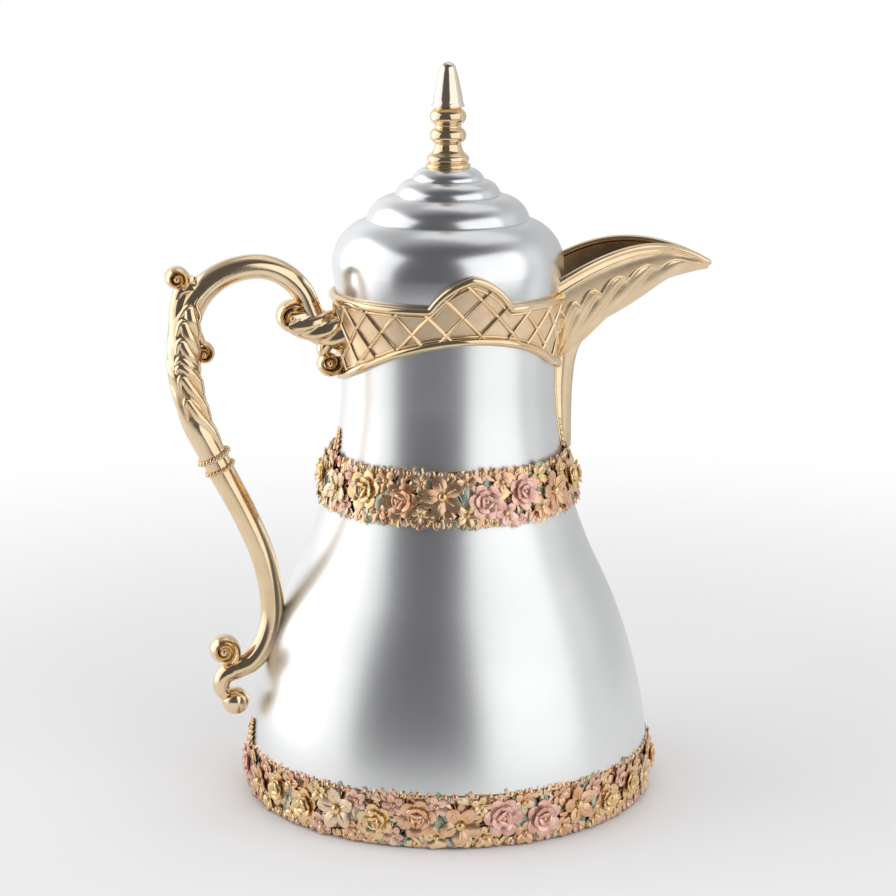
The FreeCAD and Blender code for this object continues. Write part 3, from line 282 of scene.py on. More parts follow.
def smoothPath(corners, perSpan):
    # points on a soft curve through the corners
    pts = [Vector(c) for c in corners]
    pts = [pts[0] * 2 - pts[1]] + pts + [pts[-1] * 2 - pts[-2]]
    out = []
    for i in range(1, len(pts) - 2):
        a, b, c, e = pts[i - 1:i + 3]
        for k in range(perSpan):
            u = k / perSpan
            bend, twist = 2 * a - 5 * b + 4 * c - e, 3 * b - a - 3 * c + e
            out.append(0.5 * (2 * b + (c - a) * u + bend * u**2 + twist * u**3))
    out.append(pts[-2])
    return out


def blendList(values, count):
    # values spread evenly over count entries
    out = []
    for i in range(count):
        spot = i / max(count - 1, 1) * (len(values) - 1)
        low = min(int(spot), len(values) - 2)
        out.append(values[low] + (values[low + 1] - values[low]) * (spot - low))
    return out


def tube(bm, corners, radii, side=(0, 1, 0), perSpan=6, sides=12, flat=1.0):
    points = smoothPath(corners, perSpan)
    sizes = blendList(radii, len(points))
    sweep(bm, pathFrames(points, side, [r * flat for r in sizes], sizes), roundSection(sides))


def ball(bm, place, radius, stretch=(1, 1, 1), segments=(14, 9)):
    part = bmesh.new()
    shape = Matrix.Translation(Vector(place)) @ Matrix.Diagonal((*[radius * k for k in stretch], 1.0))
    around, along = segments
    bmesh.ops.create_uvsphere(part, u_segments=around, v_segments=along, radius=1.0, matrix=shape)
    addPart(bm, part)


# shell: a bell with a straight neck, tucked behind the base band and open behind the spout
shellSizes = {"foot": 3.0, "tuck": 85.9, "tuckDrop": 1.0, "edge": (0.5, 0.4), "belly": (88.5, 23.5),
              "flank": (67.0, 99.0), "neck": (46.4, 178.0), "top": 211.5, "bellyArc": 219.0,
              "waistArc": 204.7, "wall": 0.8, "window": 17.0, "sill": 203.5, "arcSteps": 26, "steps": 192}


def shellRadius(z):
    s = shellSizes
    if z >= s["neck"][1]:
        return s["neck"][0]
    low, high, radius, side = s["belly"], s["flank"], s["bellyArc"], 1
    if z > s["flank"][1]:
        low, high, radius, side = s["flank"], s["neck"], s["waistArc"], -1
    centre = arcCentre(low, high, radius, side)
    return centre.x + side * math.sqrt(radius**2 - (z - centre.y) ** 2)


def makeShell():
    s = shellSizes
    bellyR, bellyZ = s["belly"]
    outside = [(s["tuck"], s["foot"]), (s["tuck"], bellyZ - s["tuckDrop"])]
    outside += [(bellyR - s["edge"][0], bellyZ - s["edge"][1]), s["belly"]]
    outside += arcTo(s["belly"], s["flank"], s["bellyArc"], 1, s["arcSteps"])
    outside += arcTo(s["flank"], s["neck"], s["waistArc"], -1, s["arcSteps"])
    outside += [(s["neck"][0], s["sill"]), (s["neck"][0], s["top"])]
    inside = [(r - s["wall"], z) for r, z in reversed(outside)]
    bm = bmesh.new()
    turnProfile(bm, outside + inside, s["steps"])
    cutWindow(bm)
    return finishPiece(bm, "shellSkin", "pot", [satinSilver], ["outer_shell"])


def cutWindow(bm):
    # opening behind the spout, with the cut edge of the wall closed
    s = shellSizes
    bmesh.ops.remove_doubles(bm, verts=bm.verts, dist=weldGap)
    gone = []
    for face in bm.faces:
        centre = face.calc_center_median()
        above = min(v.co.z for v in face.verts) > s["sill"] - s["wall"]
        if above and centre.x > 0 and abs(centre.y) < s["window"]:
            gone.append(face)
    bmesh.ops.delete(bm, geom=gone, context="FACES")
    middle = s["neck"][0] - s["wall"] / 2
    rims = []
    for edge in bm.edges:
        if edge.is_boundary and len({math.hypot(v.co.x, v.co.y) > middle for v in edge.verts}) == 1:
            rims.append(edge)
    bmesh.ops.bridge_loops(bm, edges=rims)


# lid dome: three rolled steps under a flat top, each step with the radius of the roll above it
domeSizes = {"rim": (48.2, 220.5), "lip": (0.7, 4.0), "bulge": (50.0, 232.2), "shoulder": 20.0,
             "steps": [(35.0, 253.0, 13.0), (22.5, 263.5, 8.0), (15.3, 270.0, 8.0)], "top": (10.4, 275.0),
             "crease": 1.1, "creaseEase": 0.75, "creaseFloor": (0.05, 0.25), "slant": 0.7, "wall": 0.9,
             "hole": 2.6, "shoulderSteps": 14, "rollSteps": 9, "turnSteps": 160}


def domeSide(back):
    # the dome's outline from its rim to its top, moved in by back
    s = domeSizes
    rimR, rimZ = s["rim"]
    line = [(rimR - back, rimZ), (rimR + s["lip"][0] - back, rimZ + s["lip"][1])]
    line.append((s["bulge"][0] - back, s["bulge"][1]))
    sunk = back * s["slant"]
    radius, count = s["shoulder"], s["shoulderSteps"]
    for r, z, nextRadius in s["steps"]:
        foot = (r + s["crease"] * s["creaseEase"] - sunk, z - sunk)
        line += arcTo(line[-1], foot, radius - back, 1, count)
        line.append((r + s["creaseFloor"][0] - sunk, z + s["creaseFloor"][1] - sunk))
        line.append((r - sunk, z + s["crease"] - sunk))
        radius, count = nextRadius, s["rollSteps"]
    return line + arcTo(line[-1], (s["top"][0] - sunk, s["top"][1] - sunk), radius - back, 1, count)


def makeDome():
    s = domeSizes
    hole = [(s["hole"], s["top"][1]), (s["hole"], s["top"][1] - s["wall"])]
    bm = bmesh.new()
    turnProfile(bm, domeSide(0.0) + hole + domeSide(s["wall"])[::-1], s["turnSteps"])
    return finishPiece(bm, "lidDome", "lid", [domeSilver], ["lid_dome"], sharp=28.0)


# finial: flared foot, two beads and a spear, on a stud
finialSizes = {"foot": 275.0, "tip": 320.0, "studR": 2.4, "studDeep": 24.0, "flareR": 9.2, "flareH": 2.0,
               "flareArc": 1.2, "ringR": 8.232, "ringLow": 2.3, "ringHigh": 5.6, "ringArc": 2.0,
               "groove": 6.0, "hollowTop": 9.0, "hollowArc": 5.0, "beads": (10.8, 18.8), "beadH": 6.2,
               "beadArc": 3.5, "cutIn": 0.4, "cutH": 0.6, "spear": 7.1, "spearLow": 26.2,
               "spearEdge": 0.8, "spearEase": (0.5, 0.6), "spearArc": 120.0, "point": 3.3, "pointH": 2.2,
               "pointArc": 3.6, "paleFrom": 26.0, "arcSteps": 6, "beadSteps": 10, "spearSteps": 8,
               "turnSteps": 72}


def makeFinial():
    s = finialSizes
    z, groove, cut = s["foot"], s["groove"], s["groove"] - s["cutIn"]
    line = [(0.0, z - s["studDeep"]), (s["studR"], z - s["studDeep"]), (s["studR"], z), (s["flareR"], z)]
    line += arcTo(line[-1], (s["flareR"], z + s["flareH"]), s["flareArc"], 1, s["arcSteps"])
    line.append((s["ringR"], z + s["ringLow"]))
    line += arcTo(line[-1], (s["ringR"], z + s["ringHigh"]), s["ringArc"], 1, s["arcSteps"])
    line += arcTo(line[-1], (groove, z + s["hollowTop"]), s["hollowArc"], -1, s["arcSteps"])
    for low in s["beads"]:
        line += [(cut, z + low - s["cutH"]), (groove, z + low)]
        line += arcTo(line[-1], (groove, z + low + s["beadH"]), s["beadArc"], 1, s["beadSteps"])
        line.append((cut, z + low + s["beadH"] + s["cutH"]))
    spearZ = z + s["spearLow"]
    easeIn, easeUp = s["spearEase"]
    line += [(s["spear"], spearZ), (s["spear"], spearZ + s["spearEdge"])]
    line.append((s["spear"] - easeIn, spearZ + s["spearEdge"] + easeUp))
    line += arcTo(line[-1], (s["point"], s["tip"] - s["pointH"]), s["spearArc"], 1, s["spearSteps"])
    line += arcTo(line[-1], (0.0, s["tip"]), s["pointArc"], 1, s["arcSteps"])
    bm = bmesh.new()
    turnProfile(bm, line, s["turnSteps"], closed=False)
    for face in bm.faces:
        face.material_index = 1 if face.calc_center_median().z > z + s["paleFrom"] else 0
    return finishPiece(bm, "finialSpear", "lid", [champagneGold, paleGold], ["finial"],
                       sharp=40.0)


makeShell()
makeDome()
makeFinial()


# flower bands: large roses and five-petalled flowers among leaves, small flowers and beads, on a dark ground
rose, pink, golden, sage, cream = range(1, 6)  # places of the finishes on a band, after the ground
bandFinishes = [bandGround, roseGold, pinkGold, petalGold, sageLeaf, creamGold]
bandSizes = {"relief": 0.70, "swing": 1.3, "spread": 0.30, "edgeStep": 4.4, "edgeLeafIn": 3.2,
             "edgeBeadIn": 0.6, "edgeSway": 0.25, "edgeFan": 0.65, "leaves": 9, "leafSway": 12,
             "gapSway": 0.07, "gapLeaves": 3, "gapFan": 48, "gapFanSway": 10, "broadLeans": (-0.5, 0.6),
             "broadSway": 0.3, "broadOut": 3.0, "buds": 4, "budSway": 0.2, "budSpread": 4, "anyTurn": 6.3,
             "groundOut": 0.4, "groundEdge": (0.5, 0.8), "groundTop": 2.4, "groundLip": (0.35, 0.3),
             "groundBack": 0.02, "groundGap": 0.1, "groundSpans": 6, "groundSteps": 128, "lowest": 0.6}
bandKinds = {
    "edgeLeaf": {"size": 9.8, "vary": (0.40, 0.54), "lift": 0.7, "wide": 1.7,
                 "looks": [rose, rose, pink, golden, golden, sage, cream]},
    "edgeBead": {"size": 2.3, "vary": (1.0, 1.5), "lift": 0.5, "looks": [rose, rose, pink, golden]},
    "leaf": {"size": 9.8, "vary": (0.95, 1.1), "lift": 0.5, "sageShare": 0.2,
             "looks": [rose, rose, golden, golden, cream]},
    "gapLeaf": {"size": 9.8, "vary": (0.5, 0.62), "lift": 0.8, "looks": [rose, golden, sage, cream]},
    "small": {"size": 4.9, "vary": (0.9, 1.15), "lift": 0.9, "looks": [rose, pink, golden],
              "hearts": [rose, golden]},
    "broad": {"size": 9.8, "vary": (0.92, 1.05), "lift": 1.7, "looks": [sage, cream]},
    "bud": {"size": 2.3, "vary": (1.0, 1.5), "lift": 0.3, "looks": [rose, pink, golden, golden]},
    "blossom": {"size": 9.4, "vary": (0.94, 1.04), "lift": 0.7},
    "rose": {"size": 9.3, "vary": (0.92, 1.06), "lift": 0.6},
}
spireSizes = {"foot": 1.0, "beads": 6, "bead": 1.9, "taper": 9, "stand": 0.3, "swell": 1.9, "step": 1.5,
              "leaf": 6.0, "leafLess": 0.7, "leafStand": 0.6, "leafTurn": 0.9}
petalLooks = [golden, rose, pink, rose, cream, golden, pink, rose, golden]
baseBand = {"name": "baseFlowers", "node": "base_band", "low": 1.0, "high": 23.1, "lowR": 87.4,
            "highR": 87.4, "count": 31, "spires": (0.0, math.pi)}
waistBand = {"name": "waistFlowers", "node": "waist_band", "low": 131.0, "high": 152.5,
             "lowR": shellRadius(131.0) + 1.0, "highR": shellRadius(152.5) + 1.5, "count": 19,
             "spires": (math.pi,)}


# casts of unit size, put together from flattened balls: each form has a place, a length with half its width
# and half its thickness, and segments; a rose's rings have a count of petals, reach, rise, tilt and turn
castForms = {"roseBud": ((-0.12, 0, 0.42), (0.24, 0.13, 0.13), (8, 6)),
             "petal": ((0.12, 0, 0.14), (0.86, 0.36, 0.13), (9, 5)),
             "vein": ((0.2, 0, 0.30), (0.5, 0.06, 0.08), (6, 4)),
             "heart": ((-0.2, 0, 0.34), (0.4, 0.22, 0.2), (8, 6)),
             "leafHalf": ((0, 0, 0), (1.0, 0.2, 0.09), (6, 4)),
             "leafRib": ((0, 0, 0.07), (0.98, 0.045, 0.06), (4, 3)),
             "bead": ((-0.5, 0, 0), (1.0, 0.5, 0.5), (6, 4))}
castSizes = {"roseRings": ((6, 0.62, 0.10, 14, 0), (5, 0.46, 0.24, 36, 25), (3, 0.30, 0.36, 58, 10)),
             "roseRoot": 0.30, "roseLong": 1.15, "roseWide": (0.238, 0.204), "roseThick": 0.10,
             "roseSegments": (9, 5), "petals": 5, "petalTilt": 16, "leafTurn": 9, "leafTilt": 22,
             "leafApart": 0.13}


def flatBall(bm, matrix, size, look, segments):
    # starts just behind the matrix's origin and runs along its x
    long, wide, thick = size
    shape = matrix @ Matrix.Translation((long * 0.5, 0, 0)) @ Matrix.Diagonal((long * 0.56, wide, thick, 1.0))
    around, along = segments
    made = bmesh.ops.create_uvsphere(bm, u_segments=around, v_segments=along, radius=1.0, matrix=shape)
    for vert in made["verts"]:
        for face in vert.link_faces:
            face.material_index = look


def addForm(bm, name, look, before=Matrix(), after=Matrix()):
    place, size, segments = castForms[name]
    flatBall(bm, before @ Matrix.Translation(place) @ after, size, look, segments)


def roseCast(look):
    # rings of cupped petals closing on a bud
    s = castSizes
    bm = bmesh.new()
    for count, reach, rise, tilt, turn in s["roseRings"]:
        cup = Matrix.Rotation(-math.radians(tilt), 4, "Y")
        spot = Matrix.Translation((reach * s["roseRoot"], 0, rise))
        petalSize = (reach * s["roseLong"], s["roseWide"][0] + s["roseWide"][1] * reach, s["roseThick"])
        for i in range(count):
            spin = Matrix.Rotation(fullTurn * i / count + math.radians(turn), 4, "Z")
            flatBall(bm, spin @ spot @ cup, petalSize, look, s["roseSegments"])
    addForm(bm, "roseBud", rose)
    return castOf(bm)


def blossomCast(look, heart):
    # open petals, each with a raised vein, round a raised heart
    s = castSizes
    bm = bmesh.new()
    cup = Matrix.Rotation(-math.radians(s["petalTilt"]), 4, "Y")
    for i in range(s["petals"]):
        spin = Matrix.Rotation(fullTurn * i / s["petals"], 4, "Z")
        addForm(bm, "petal", look, spin, cup)
        addForm(bm, "vein", heart, spin, cup)
    addForm(bm, "heart", heart)
    return castOf(bm)


def leafCast(look):
    # pointed leaf with a raised rib
    s = castSizes
    bm = bmesh.new()
    for side in (-1, 1):
        turn = Matrix.Rotation(math.radians(s["leafTurn"] * side), 4, "Z")
        tilt = Matrix.Rotation(math.radians(s["leafTilt"] * side), 4, "X")
        addForm(bm, "leafHalf", look, turn @ Matrix.Translation((0, s["leafApart"] * side, 0)), tilt)
    addForm(bm, "leafRib", look)
    return castOf(bm)


def beadCast(look):
    bm = bmesh.new()
    addForm(bm, "bead", look)
    return castOf(bm)


roseCasts = {look: roseCast(look) for look in (rose, pink, golden, cream)}
blossomCasts = {(look, heart): blossomCast(look, heart)
                for look in (rose, pink, golden, cream) for heart in (rose, golden)}
leafCasts = {look: leafCast(look) for look in (rose, pink, golden, sage, cream)}
beadCasts = {look: beadCast(look) for look in (rose, pink, golden)}


def bandPlace(angle, z, radius, slope, turn):
    # outward-facing spot on a band, z axis outward
    spot = Matrix.Rotation(angle, 4, "Z") @ Matrix.Translation((radius, 0, z))
    return spot @ Matrix.Rotation(math.radians(90 - slope), 4, "Y") @ Matrix.Rotation(turn, 4, "Z")


def bandRadius(band, z):
    share = (z - band["low"]) / (band["high"] - band["low"])
    return band["lowR"] + (band["highR"] - band["lowR"]) * share + bandSizes["groundOut"]


def bandSlope(band):
    return math.degrees(math.atan2(band["lowR"] - band["highR"], band["high"] - band["low"]))


def sway(name):
    # a chance step either way
    return dice.uniform(-bandSizes[name], bandSizes[name])


def sizeOf(kind):
    return bandKinds[kind]["size"] * dice.uniform(*bandKinds[kind]["vary"])


def lookOf(kind):
    return dice.choice(bandKinds[kind]["looks"])


def put(bm, band, kind, cast, size, angle, z, turn):
    spot = bandPlace(angle, z, bandRadius(band, z) + bandKinds[kind]["lift"], bandSlope(band), turn)
    wide = bandKinds[kind].get("wide", 1.0)
    stamp(bm, cast, spot @ Matrix.Diagonal((size, size * wide, size * bandSizes["relief"], 1.0)))


def groundRing(bm, band):
    # dark ring behind the flowers, its back on the shell and its top lip closing on it
    s = bandSizes
    low, high = band["low"], band["high"]
    edgeOut, edgeUp = s["groundEdge"]
    lipOut, lipUp = s["groundLip"]
    topR, topZ = shellRadius(high + lipUp), high + lipUp
    back = []
    for k in range(s["groundSpans"]):
        z = low + (high - low) * k / s["groundSpans"]
        shell = shellSizes["tuck"] if z < shellSizes["belly"][1] else shellRadius(z)
        back.append((shell + s["groundGap"], z))
    front = [(band["lowR"], low), (band["lowR"] + edgeOut, low + edgeUp)]
    front.append((band["highR"] + edgeOut, high - s["groundTop"]))
    front += [(topR + lipOut, topZ), (topR + s["groundBack"], topZ)]
    turnProfile(bm, back[:1] + front + back[:0:-1], s["groundSteps"])


def edgeGarlands(bm, band):
    # leaves and beads along both edges
    s = bandSizes
    for edge, up in ((band["low"], -1), (band["high"], 1)):
        places = int(fullTurn * bandRadius(band, edge) / s["edgeStep"])
        for k in range(places):
            spot = fullTurn * (k + sway("edgeSway")) / places
            fan = sway("edgeFan") + (math.pi if up > 0 else 0.0)
            cast = leafCasts[lookOf("edgeLeaf")]
            put(bm, band, "edgeLeaf", cast, sizeOf("edgeLeaf"), spot, edge - up * s["edgeLeafIn"], fan)
            cast = beadCasts[lookOf("edgeBead")]
            between = spot + math.pi / places
            put(bm, band, "edgeBead", cast, sizeOf("edgeBead"), between, edge - up * s["edgeBeadIn"], 0.0)


def leafSpray(bm, band, angle, z):
    # leaves spread from behind a large flower
    count = bandSizes["leaves"]
    for k in range(count):
        fan = math.radians(360 // count * k + sway("leafSway"))
        look = sage if dice.random() < bandKinds["leaf"]["sageShare"] else lookOf("leaf")
        put(bm, band, "leaf", leafCasts[look], sizeOf("leaf"), angle, z, fan)


def smallFlowers(bm, band, angle, step, middle):
    # one above and one below the middle, between two large flowers
    s = bandSizes
    for edge in (-1, 1):
        spot = angle + step * (0.5 + sway("gapSway"))
        height = middle + edge * (band["high"] - band["low"]) * s["spread"]
        for k in range(s["gapLeaves"]):
            lean = s["gapFan"] * (k - 1) + sway("gapFanSway")
            fan = math.radians(lean) + (math.pi if edge > 0 else 0.0)
            cast = leafCasts[lookOf("gapLeaf")]
            put(bm, band, "gapLeaf", cast, sizeOf("gapLeaf"), spot, height, fan)
        cast = blossomCasts[lookOf("small"), dice.choice(bandKinds["small"]["hearts"])]
        put(bm, band, "small", cast, sizeOf("small"), spot, height, dice.uniform(0, s["anyTurn"]))


def broadLeaves(bm, band, angle, middle):
    # a pair across the gap between two large flowers
    for lean in bandSizes["broadLeans"]:
        fan = lean + sway("broadSway") + math.pi * dice.choice([0, 1])
        cast = leafCasts[sage if lean > 0 else lookOf("broad")]
        height = middle + math.copysign(bandSizes["broadOut"], math.cos(fan))
        put(bm, band, "broad", cast, sizeOf("broad"), angle, height, fan)


def gapBuds(bm, band, angle, step, middle):
    s = bandSizes
    for _ in range(s["buds"]):
        spot = angle + step * (0.5 + sway("budSway"))
        cast = beadCasts[lookOf("bud")]
        height = middle + sway("budSpread")
        put(bm, band, "bud", cast, sizeOf("bud"), spot, height, dice.uniform(0, s["anyTurn"]))


def beadSpire(bm, band, angle):
    # a tapering row of beads and leaves up the shell
    s, slope = spireSizes, bandSlope(band)
    z = band["high"] - s["foot"]
    for k in range(s["beads"]):
        radius = s["bead"] * (1 - k / s["taper"])
        spot = bandPlace(angle, z, shellRadius(z) + radius * s["stand"], slope, 0.0)
        stamp(bm, beadCasts[golden], spot @ Matrix.Scale(radius * s["swell"], 4))
        leaf = leafCasts[rose if k % 2 else golden]
        sides = (-1, 1) if k < s["beads"] - 1 else ()  # the last bead stands alone
        for side in sides:
            spot = bandPlace(angle, z, shellRadius(z) + s["leafStand"], slope, math.pi + side * s["leafTurn"])
            stamp(bm, leaf, spot @ Matrix.Scale(s["leaf"] - k * s["leafLess"], 4))
        z += radius * s["step"]


def makeBand(band):
    s = bandSizes
    middle = (band["low"] + band["high"]) / 2
    step = fullTurn / band["count"]
    bm = bmesh.new()
    groundRing(bm, band)
    edgeGarlands(bm, band)
    for i in range(band["count"]):
        angle = step * (i + 0.5)
        z = middle + s["swing"] * (1 if i % 2 else -1)
        look = petalLooks[i * 4 % len(petalLooks)]
        leafSpray(bm, band, angle, z)
        smallFlowers(bm, band, angle, step, middle)
        if i % 2:
            broadLeaves(bm, band, angle + step * 0.5, middle)
        gapBuds(bm, band, angle, step, middle)
        kind, cast = ("blossom", blossomCasts[look, golden]) if i % 3 == 1 else ("rose", roseCasts[look])
        put(bm, band, kind, cast, sizeOf(kind), angle, z, dice.uniform(0, s["anyTurn"]))
    for angle in band["spires"]:
        beadSpire(bm, band, angle)
    for vert in bm.verts:  # nothing hangs below the foot
        vert.co.z = max(vert.co.z, s["lowest"])
    return finishPiece(bm, band["name"], "pot", bandFinishes, [band["node"]], sharp=50.0)


makeBand(baseBand)
makeBand(waistBand)
print("bands done")


# collar: flared band with a crest on each side, lattice bars and rolled borders
collarSizes = {"inner": 46.55, "wall": 1.7, "low": 188.5, "arch": 18.0, "archOut": 0.85, "dip": 12.0,
               "backDip": 4.0, "lean": 204.0, "rim": 222.0, "crest": 235.5, "crestOut": 2.0, "flare": 2.6,
               "crestHalf": 17.5, "crestArc": 30.0, "insetSide": 0.4, "insetCrest": 1.3, "window": 17.0,
               "sill": 206.0, "closeReach": 0.25, "closeHigh": 6.0, "closeShare": 0.8, "panelSunk": 0.75,
               "outsideFrom": 0.3, "rows": 10, "steps": 280, "bars": 21, "tall": 15.0, "middle": 210.5,
               "barSunk": 0.55, "barEnd": 1.2, "barGap": 0.03, "barWide": 1.05, "barPoints": 120,
               "barSpan": 4.0, "roll": 1.75, "topRoll": (1.3, 0.75), "lowRoll": (1.4, 0.55), "line": 0.6,
               "topLine": 3.5, "lowLine": 3.7, "lineSunk": 0.45, "rollSteps": 240}
ridgeSection = [(1.0, -0.6), (0.92, 0.1), (0.45, 0.75), (0.0, 1.0), (-0.45, 0.75), (-0.92, 0.1), (-1.0, -0.6)]
rollSection = roundSection(10)


def wrapped(turn):
    return math.atan2(math.sin(turn), math.cos(turn))


def collarOut(z):
    # how far the flare has moved the wall out at this height
    s = collarSizes
    return max(0.0, z - s["lean"]) * s["flare"] / (s["rim"] - s["lean"])


def collarTop(turn, inset=0.0):
    s = collarSizes
    half, arc = s["crestHalf"] - inset * s["insetSide"], s["crestArc"]
    x = abs(math.cos(turn)) * (s["inner"] + s["wall"] + s["crestOut"])
    rim, crest = s["rim"] - inset, s["crest"] - inset * s["insetCrest"]
    if x >= half:
        return rim
    centre = arcCentre((half, rim), (0.0, crest), arc, 1)
    return centre.y + math.sqrt(max(arc**2 - (x - centre.x) ** 2, 0.0))


def collarLow(turn, inset=0.0):
    # an arch on each side that sweeps down to the spout and the handle
    s = collarSizes
    reach = s["inner"] + s["wall"] + s["archOut"]
    radius = (reach**2 + s["arch"] ** 2) / (2 * s["arch"])
    x = math.cos(turn) * (s["inner"] + s["wall"])
    away = abs(wrapped(turn))
    dip = s["dip"] * max(0.0, 1 - away) ** 2 + s["backDip"] * max(0.0, 1 - (math.pi - away)) ** 2
    return s["low"] + inset + s["arch"] - radius + math.sqrt(radius**2 - x**2) - dip


def collarSpot(turn, z, proud=0.0):
    r = collarSizes["inner"] + collarSizes["wall"] + collarOut(z) + proud
    return Vector((r * math.cos(turn), r * math.sin(turn), z))


def closeIn(turn, z, first):
    # below the spout's sill the band's two ends reach further under the spout
    s = collarSizes
    low = min(1.0, max(0.0, (s["sill"] - z) / s["closeHigh"]))
    past = abs(turn) - first
    if past > s["closeReach"]:
        return turn
    return math.copysign(first + past - s["closeShare"] * low * first * (1 - past / s["closeReach"]), turn)


def collarBand(bm, first):
    # a plain band, drawn up and down to its two edges and flared
    s = collarSizes
    rows = s["rows"]
    loop = [bm.verts.new((s["inner"] + s["wall"], 0.0, k / rows)) for k in range(rows + 1)]
    loop += [bm.verts.new((s["inner"], 0.0, k / rows)) for k in range(rows, -1, -1)]
    edges = [bm.edges.new((loop[i], loop[(i + 1) % len(loop)])) for i in range(len(loop))]
    bmesh.ops.rotate(bm, cent=(0, 0, 0), matrix=Matrix.Rotation(first, 3, "Z"), verts=loop)
    bmesh.ops.spin(bm, geom=loop + edges, cent=(0, 0, 0), axis=(0, 0, 1), angle=2 * (math.pi - first),
                   steps=s["steps"], use_merge=False, use_duplicate=False)
    bmesh.ops.holes_fill(bm, edges=[e for e in bm.edges if e.is_boundary], sides=0)
    middle = s["inner"] + s["wall"] / 2
    for vert in bm.verts:
        turn, flatR = math.atan2(vert.co.y, vert.co.x), math.hypot(vert.co.x, vert.co.y)
        z = collarLow(turn) + (collarTop(turn) - collarLow(turn)) * vert.co.z
        turn = closeIn(turn, z, first)
        r = flatR + collarOut(z) - (s["panelSunk"] if flatR > middle else 0.0)
        vert.co = (r * math.cos(turn), r * math.sin(turn), z)
    for face in bm.faces:  # the outside has the panels' finish
        centre = face.calc_center_median()
        outside = math.hypot(centre.x, centre.y) > middle - s["outsideFrom"] + collarOut(centre.z)
        face.material_index = 1 if outside else 0


def latticeBar(bm, run):
    if len(run) > 3:
        sweep(bm, surfaceFrames(run[::2] + run[-1:], collarSizes["barWide"], 1.0), ridgeSection)


def latticeBars(bm, first):
    # slanting lines round the band, kept where they lie between its edges
    s = collarSizes
    step = fullTurn / s["bars"]
    for way in (1, -1):
        for k in range(s["bars"]):
            run = []
            for i in range(s["barPoints"] + 1):
                share = i / s["barPoints"] * s["barSpan"] - s["barSpan"] / 2
                turn, z = (k + way * share) * step, s["middle"] + share * s["tall"]
                between = collarLow(turn, s["barEnd"]) < z < collarTop(turn, s["barEnd"])
                if between and abs(wrapped(turn)) > first + s["barGap"]:
                    run.append(collarSpot(turn, z, -s["barSunk"]))
                elif run:
                    latticeBar(bm, run)
                    run = []
            latticeBar(bm, run)


def collarBorders(bm, first):
    # a thick roll along each edge and a thin line inside it
    s = collarSizes
    turns = [first + 2 * (math.pi - first) * i / s["rollSteps"] for i in range(s["rollSteps"] + 1)]
    topIn, topSunk = s["topRoll"]
    lowIn, lowSunk = s["lowRoll"]
    borders = ((lambda t: collarTop(t) - topIn, s["roll"], topSunk),
               (lambda t: collarTop(t, s["topLine"]), s["line"], s["lineSunk"]),
               (lambda t: collarLow(t) + lowIn, s["roll"], lowSunk),
               (lambda t: collarLow(t, s["lowLine"]), s["line"], s["lineSunk"]))
    for height, size, sunk in borders:
        spots = [collarSpot(closeIn(wrapped(t), height(t), first), height(t), -sunk) for t in turns]
        sweep(bm, surfaceFrames(spots, size, size), rollSection)


def makeCollar():
    first = math.asin(collarSizes["window"] / (collarSizes["inner"] + collarSizes["wall"]))
    bm = bmesh.new()
    collarBand(bm, first)
    latticeBars(bm, first)
    collarBorders(bm, first)
    return finishPiece(bm, "latticeCollar", "pot", [champagneGold, latticePanel], ["collar"],
                       sharp=50.0, merge=fineWeldGap)


makeCollar()


# spout: open beak with a rolled rim, flutes along its sides and a beaded tail down the neck
spoutSizes = {"root": 46.4, "tip": 117.0, "rootRim": 226.0, "top": 240.5, "tipRim": 230.5,
              "rootLow": 187.0, "tipDeep": 2.8, "half": 21.5, "tipHalf": 3.6, "wall": 1.8, "sill": 203.5,
              "crest": 0.55, "rootR": 47.6, "rootIn": 1.0, "fall": 1.6, "taper": 1.5, "sideRound": 0.95,
              "keelRound": 1.12, "end": 0.995, "edge": 0.985, "fanX": 42.0, "fanZ": 178.0, "fanStep": 8.5,
              "fluteHigh": 2.3, "fluteSunk": 1.7, "fluteFade": 2.5, "scallop": (0.62, 0.13, 0.6),
              "scallopAt": 0.68, "bead": 0.89, "lineEnd": (0.01, 0.93), "lineThin": 0.55, "rimEnd": 0.99,
              "rimLift": 0.1, "rimWide": 1.5, "rimDeep": 1.75, "segments": (220, 120), "ridgeSoft": 0.03,
              "fluteEdge": 12, "fluteLean": 0.25, "rimSteps": 40, "lineSteps": 160, "lineSizes": (1.0, 0.7)}
tailSizes = {"low": 150.5, "high": 203.0, "stand": 4.8, "grow": 6.4, "half": 6.8, "topHalf": 9.0,
             "blend": 7.0, "wallTop": 205.0, "sunk": 0.6, "edgeOut": 0.9, "edge": 0.9, "edgeFrom": 12,
             "beads": 5, "bead": 1.75, "beadLess": 0.1, "beadIn": 0.9, "beadStep": 3, "growBend": 0.7,
             "halfBend": 1.3, "steps": 56}
keelSection = [(1.0, -0.1), (0.94, 0.2), (0.78, 0.46), (0.5, 0.70), (0.34, 0.84), (0.2, 0.97), (0.0, 1.0)]
keelSection += [(-x, y) for x, y in keelSection[-2::-1]]


def spoutLine(share):
    # underside, rim, half width and channel floor from root to tip
    s = spoutSizes
    fall = (1 - share) ** s["fall"]
    tipFloor = s["tipRim"] - s["tipDeep"]
    under = tipFloor + (s["rootLow"] - tipFloor) * fall
    floor = tipFloor + s["wall"] + (s["sill"] - tipFloor - s["wall"]) * fall
    if share < s["crest"]:
        rim = s["rootRim"] + (s["top"] - s["rootRim"]) * math.sin(math.pi / 2 * share / s["crest"])
    else:
        rim = s["top"] + (s["tipRim"] - s["top"]) * ((share - s["crest"]) / (1 - s["crest"])) ** 2
    half = s["tipHalf"] + (s["half"] - s["tipHalf"]) * (0.5 + 0.5 * math.cos(math.pi * share ** s["taper"]))
    return under, rim, half, floor


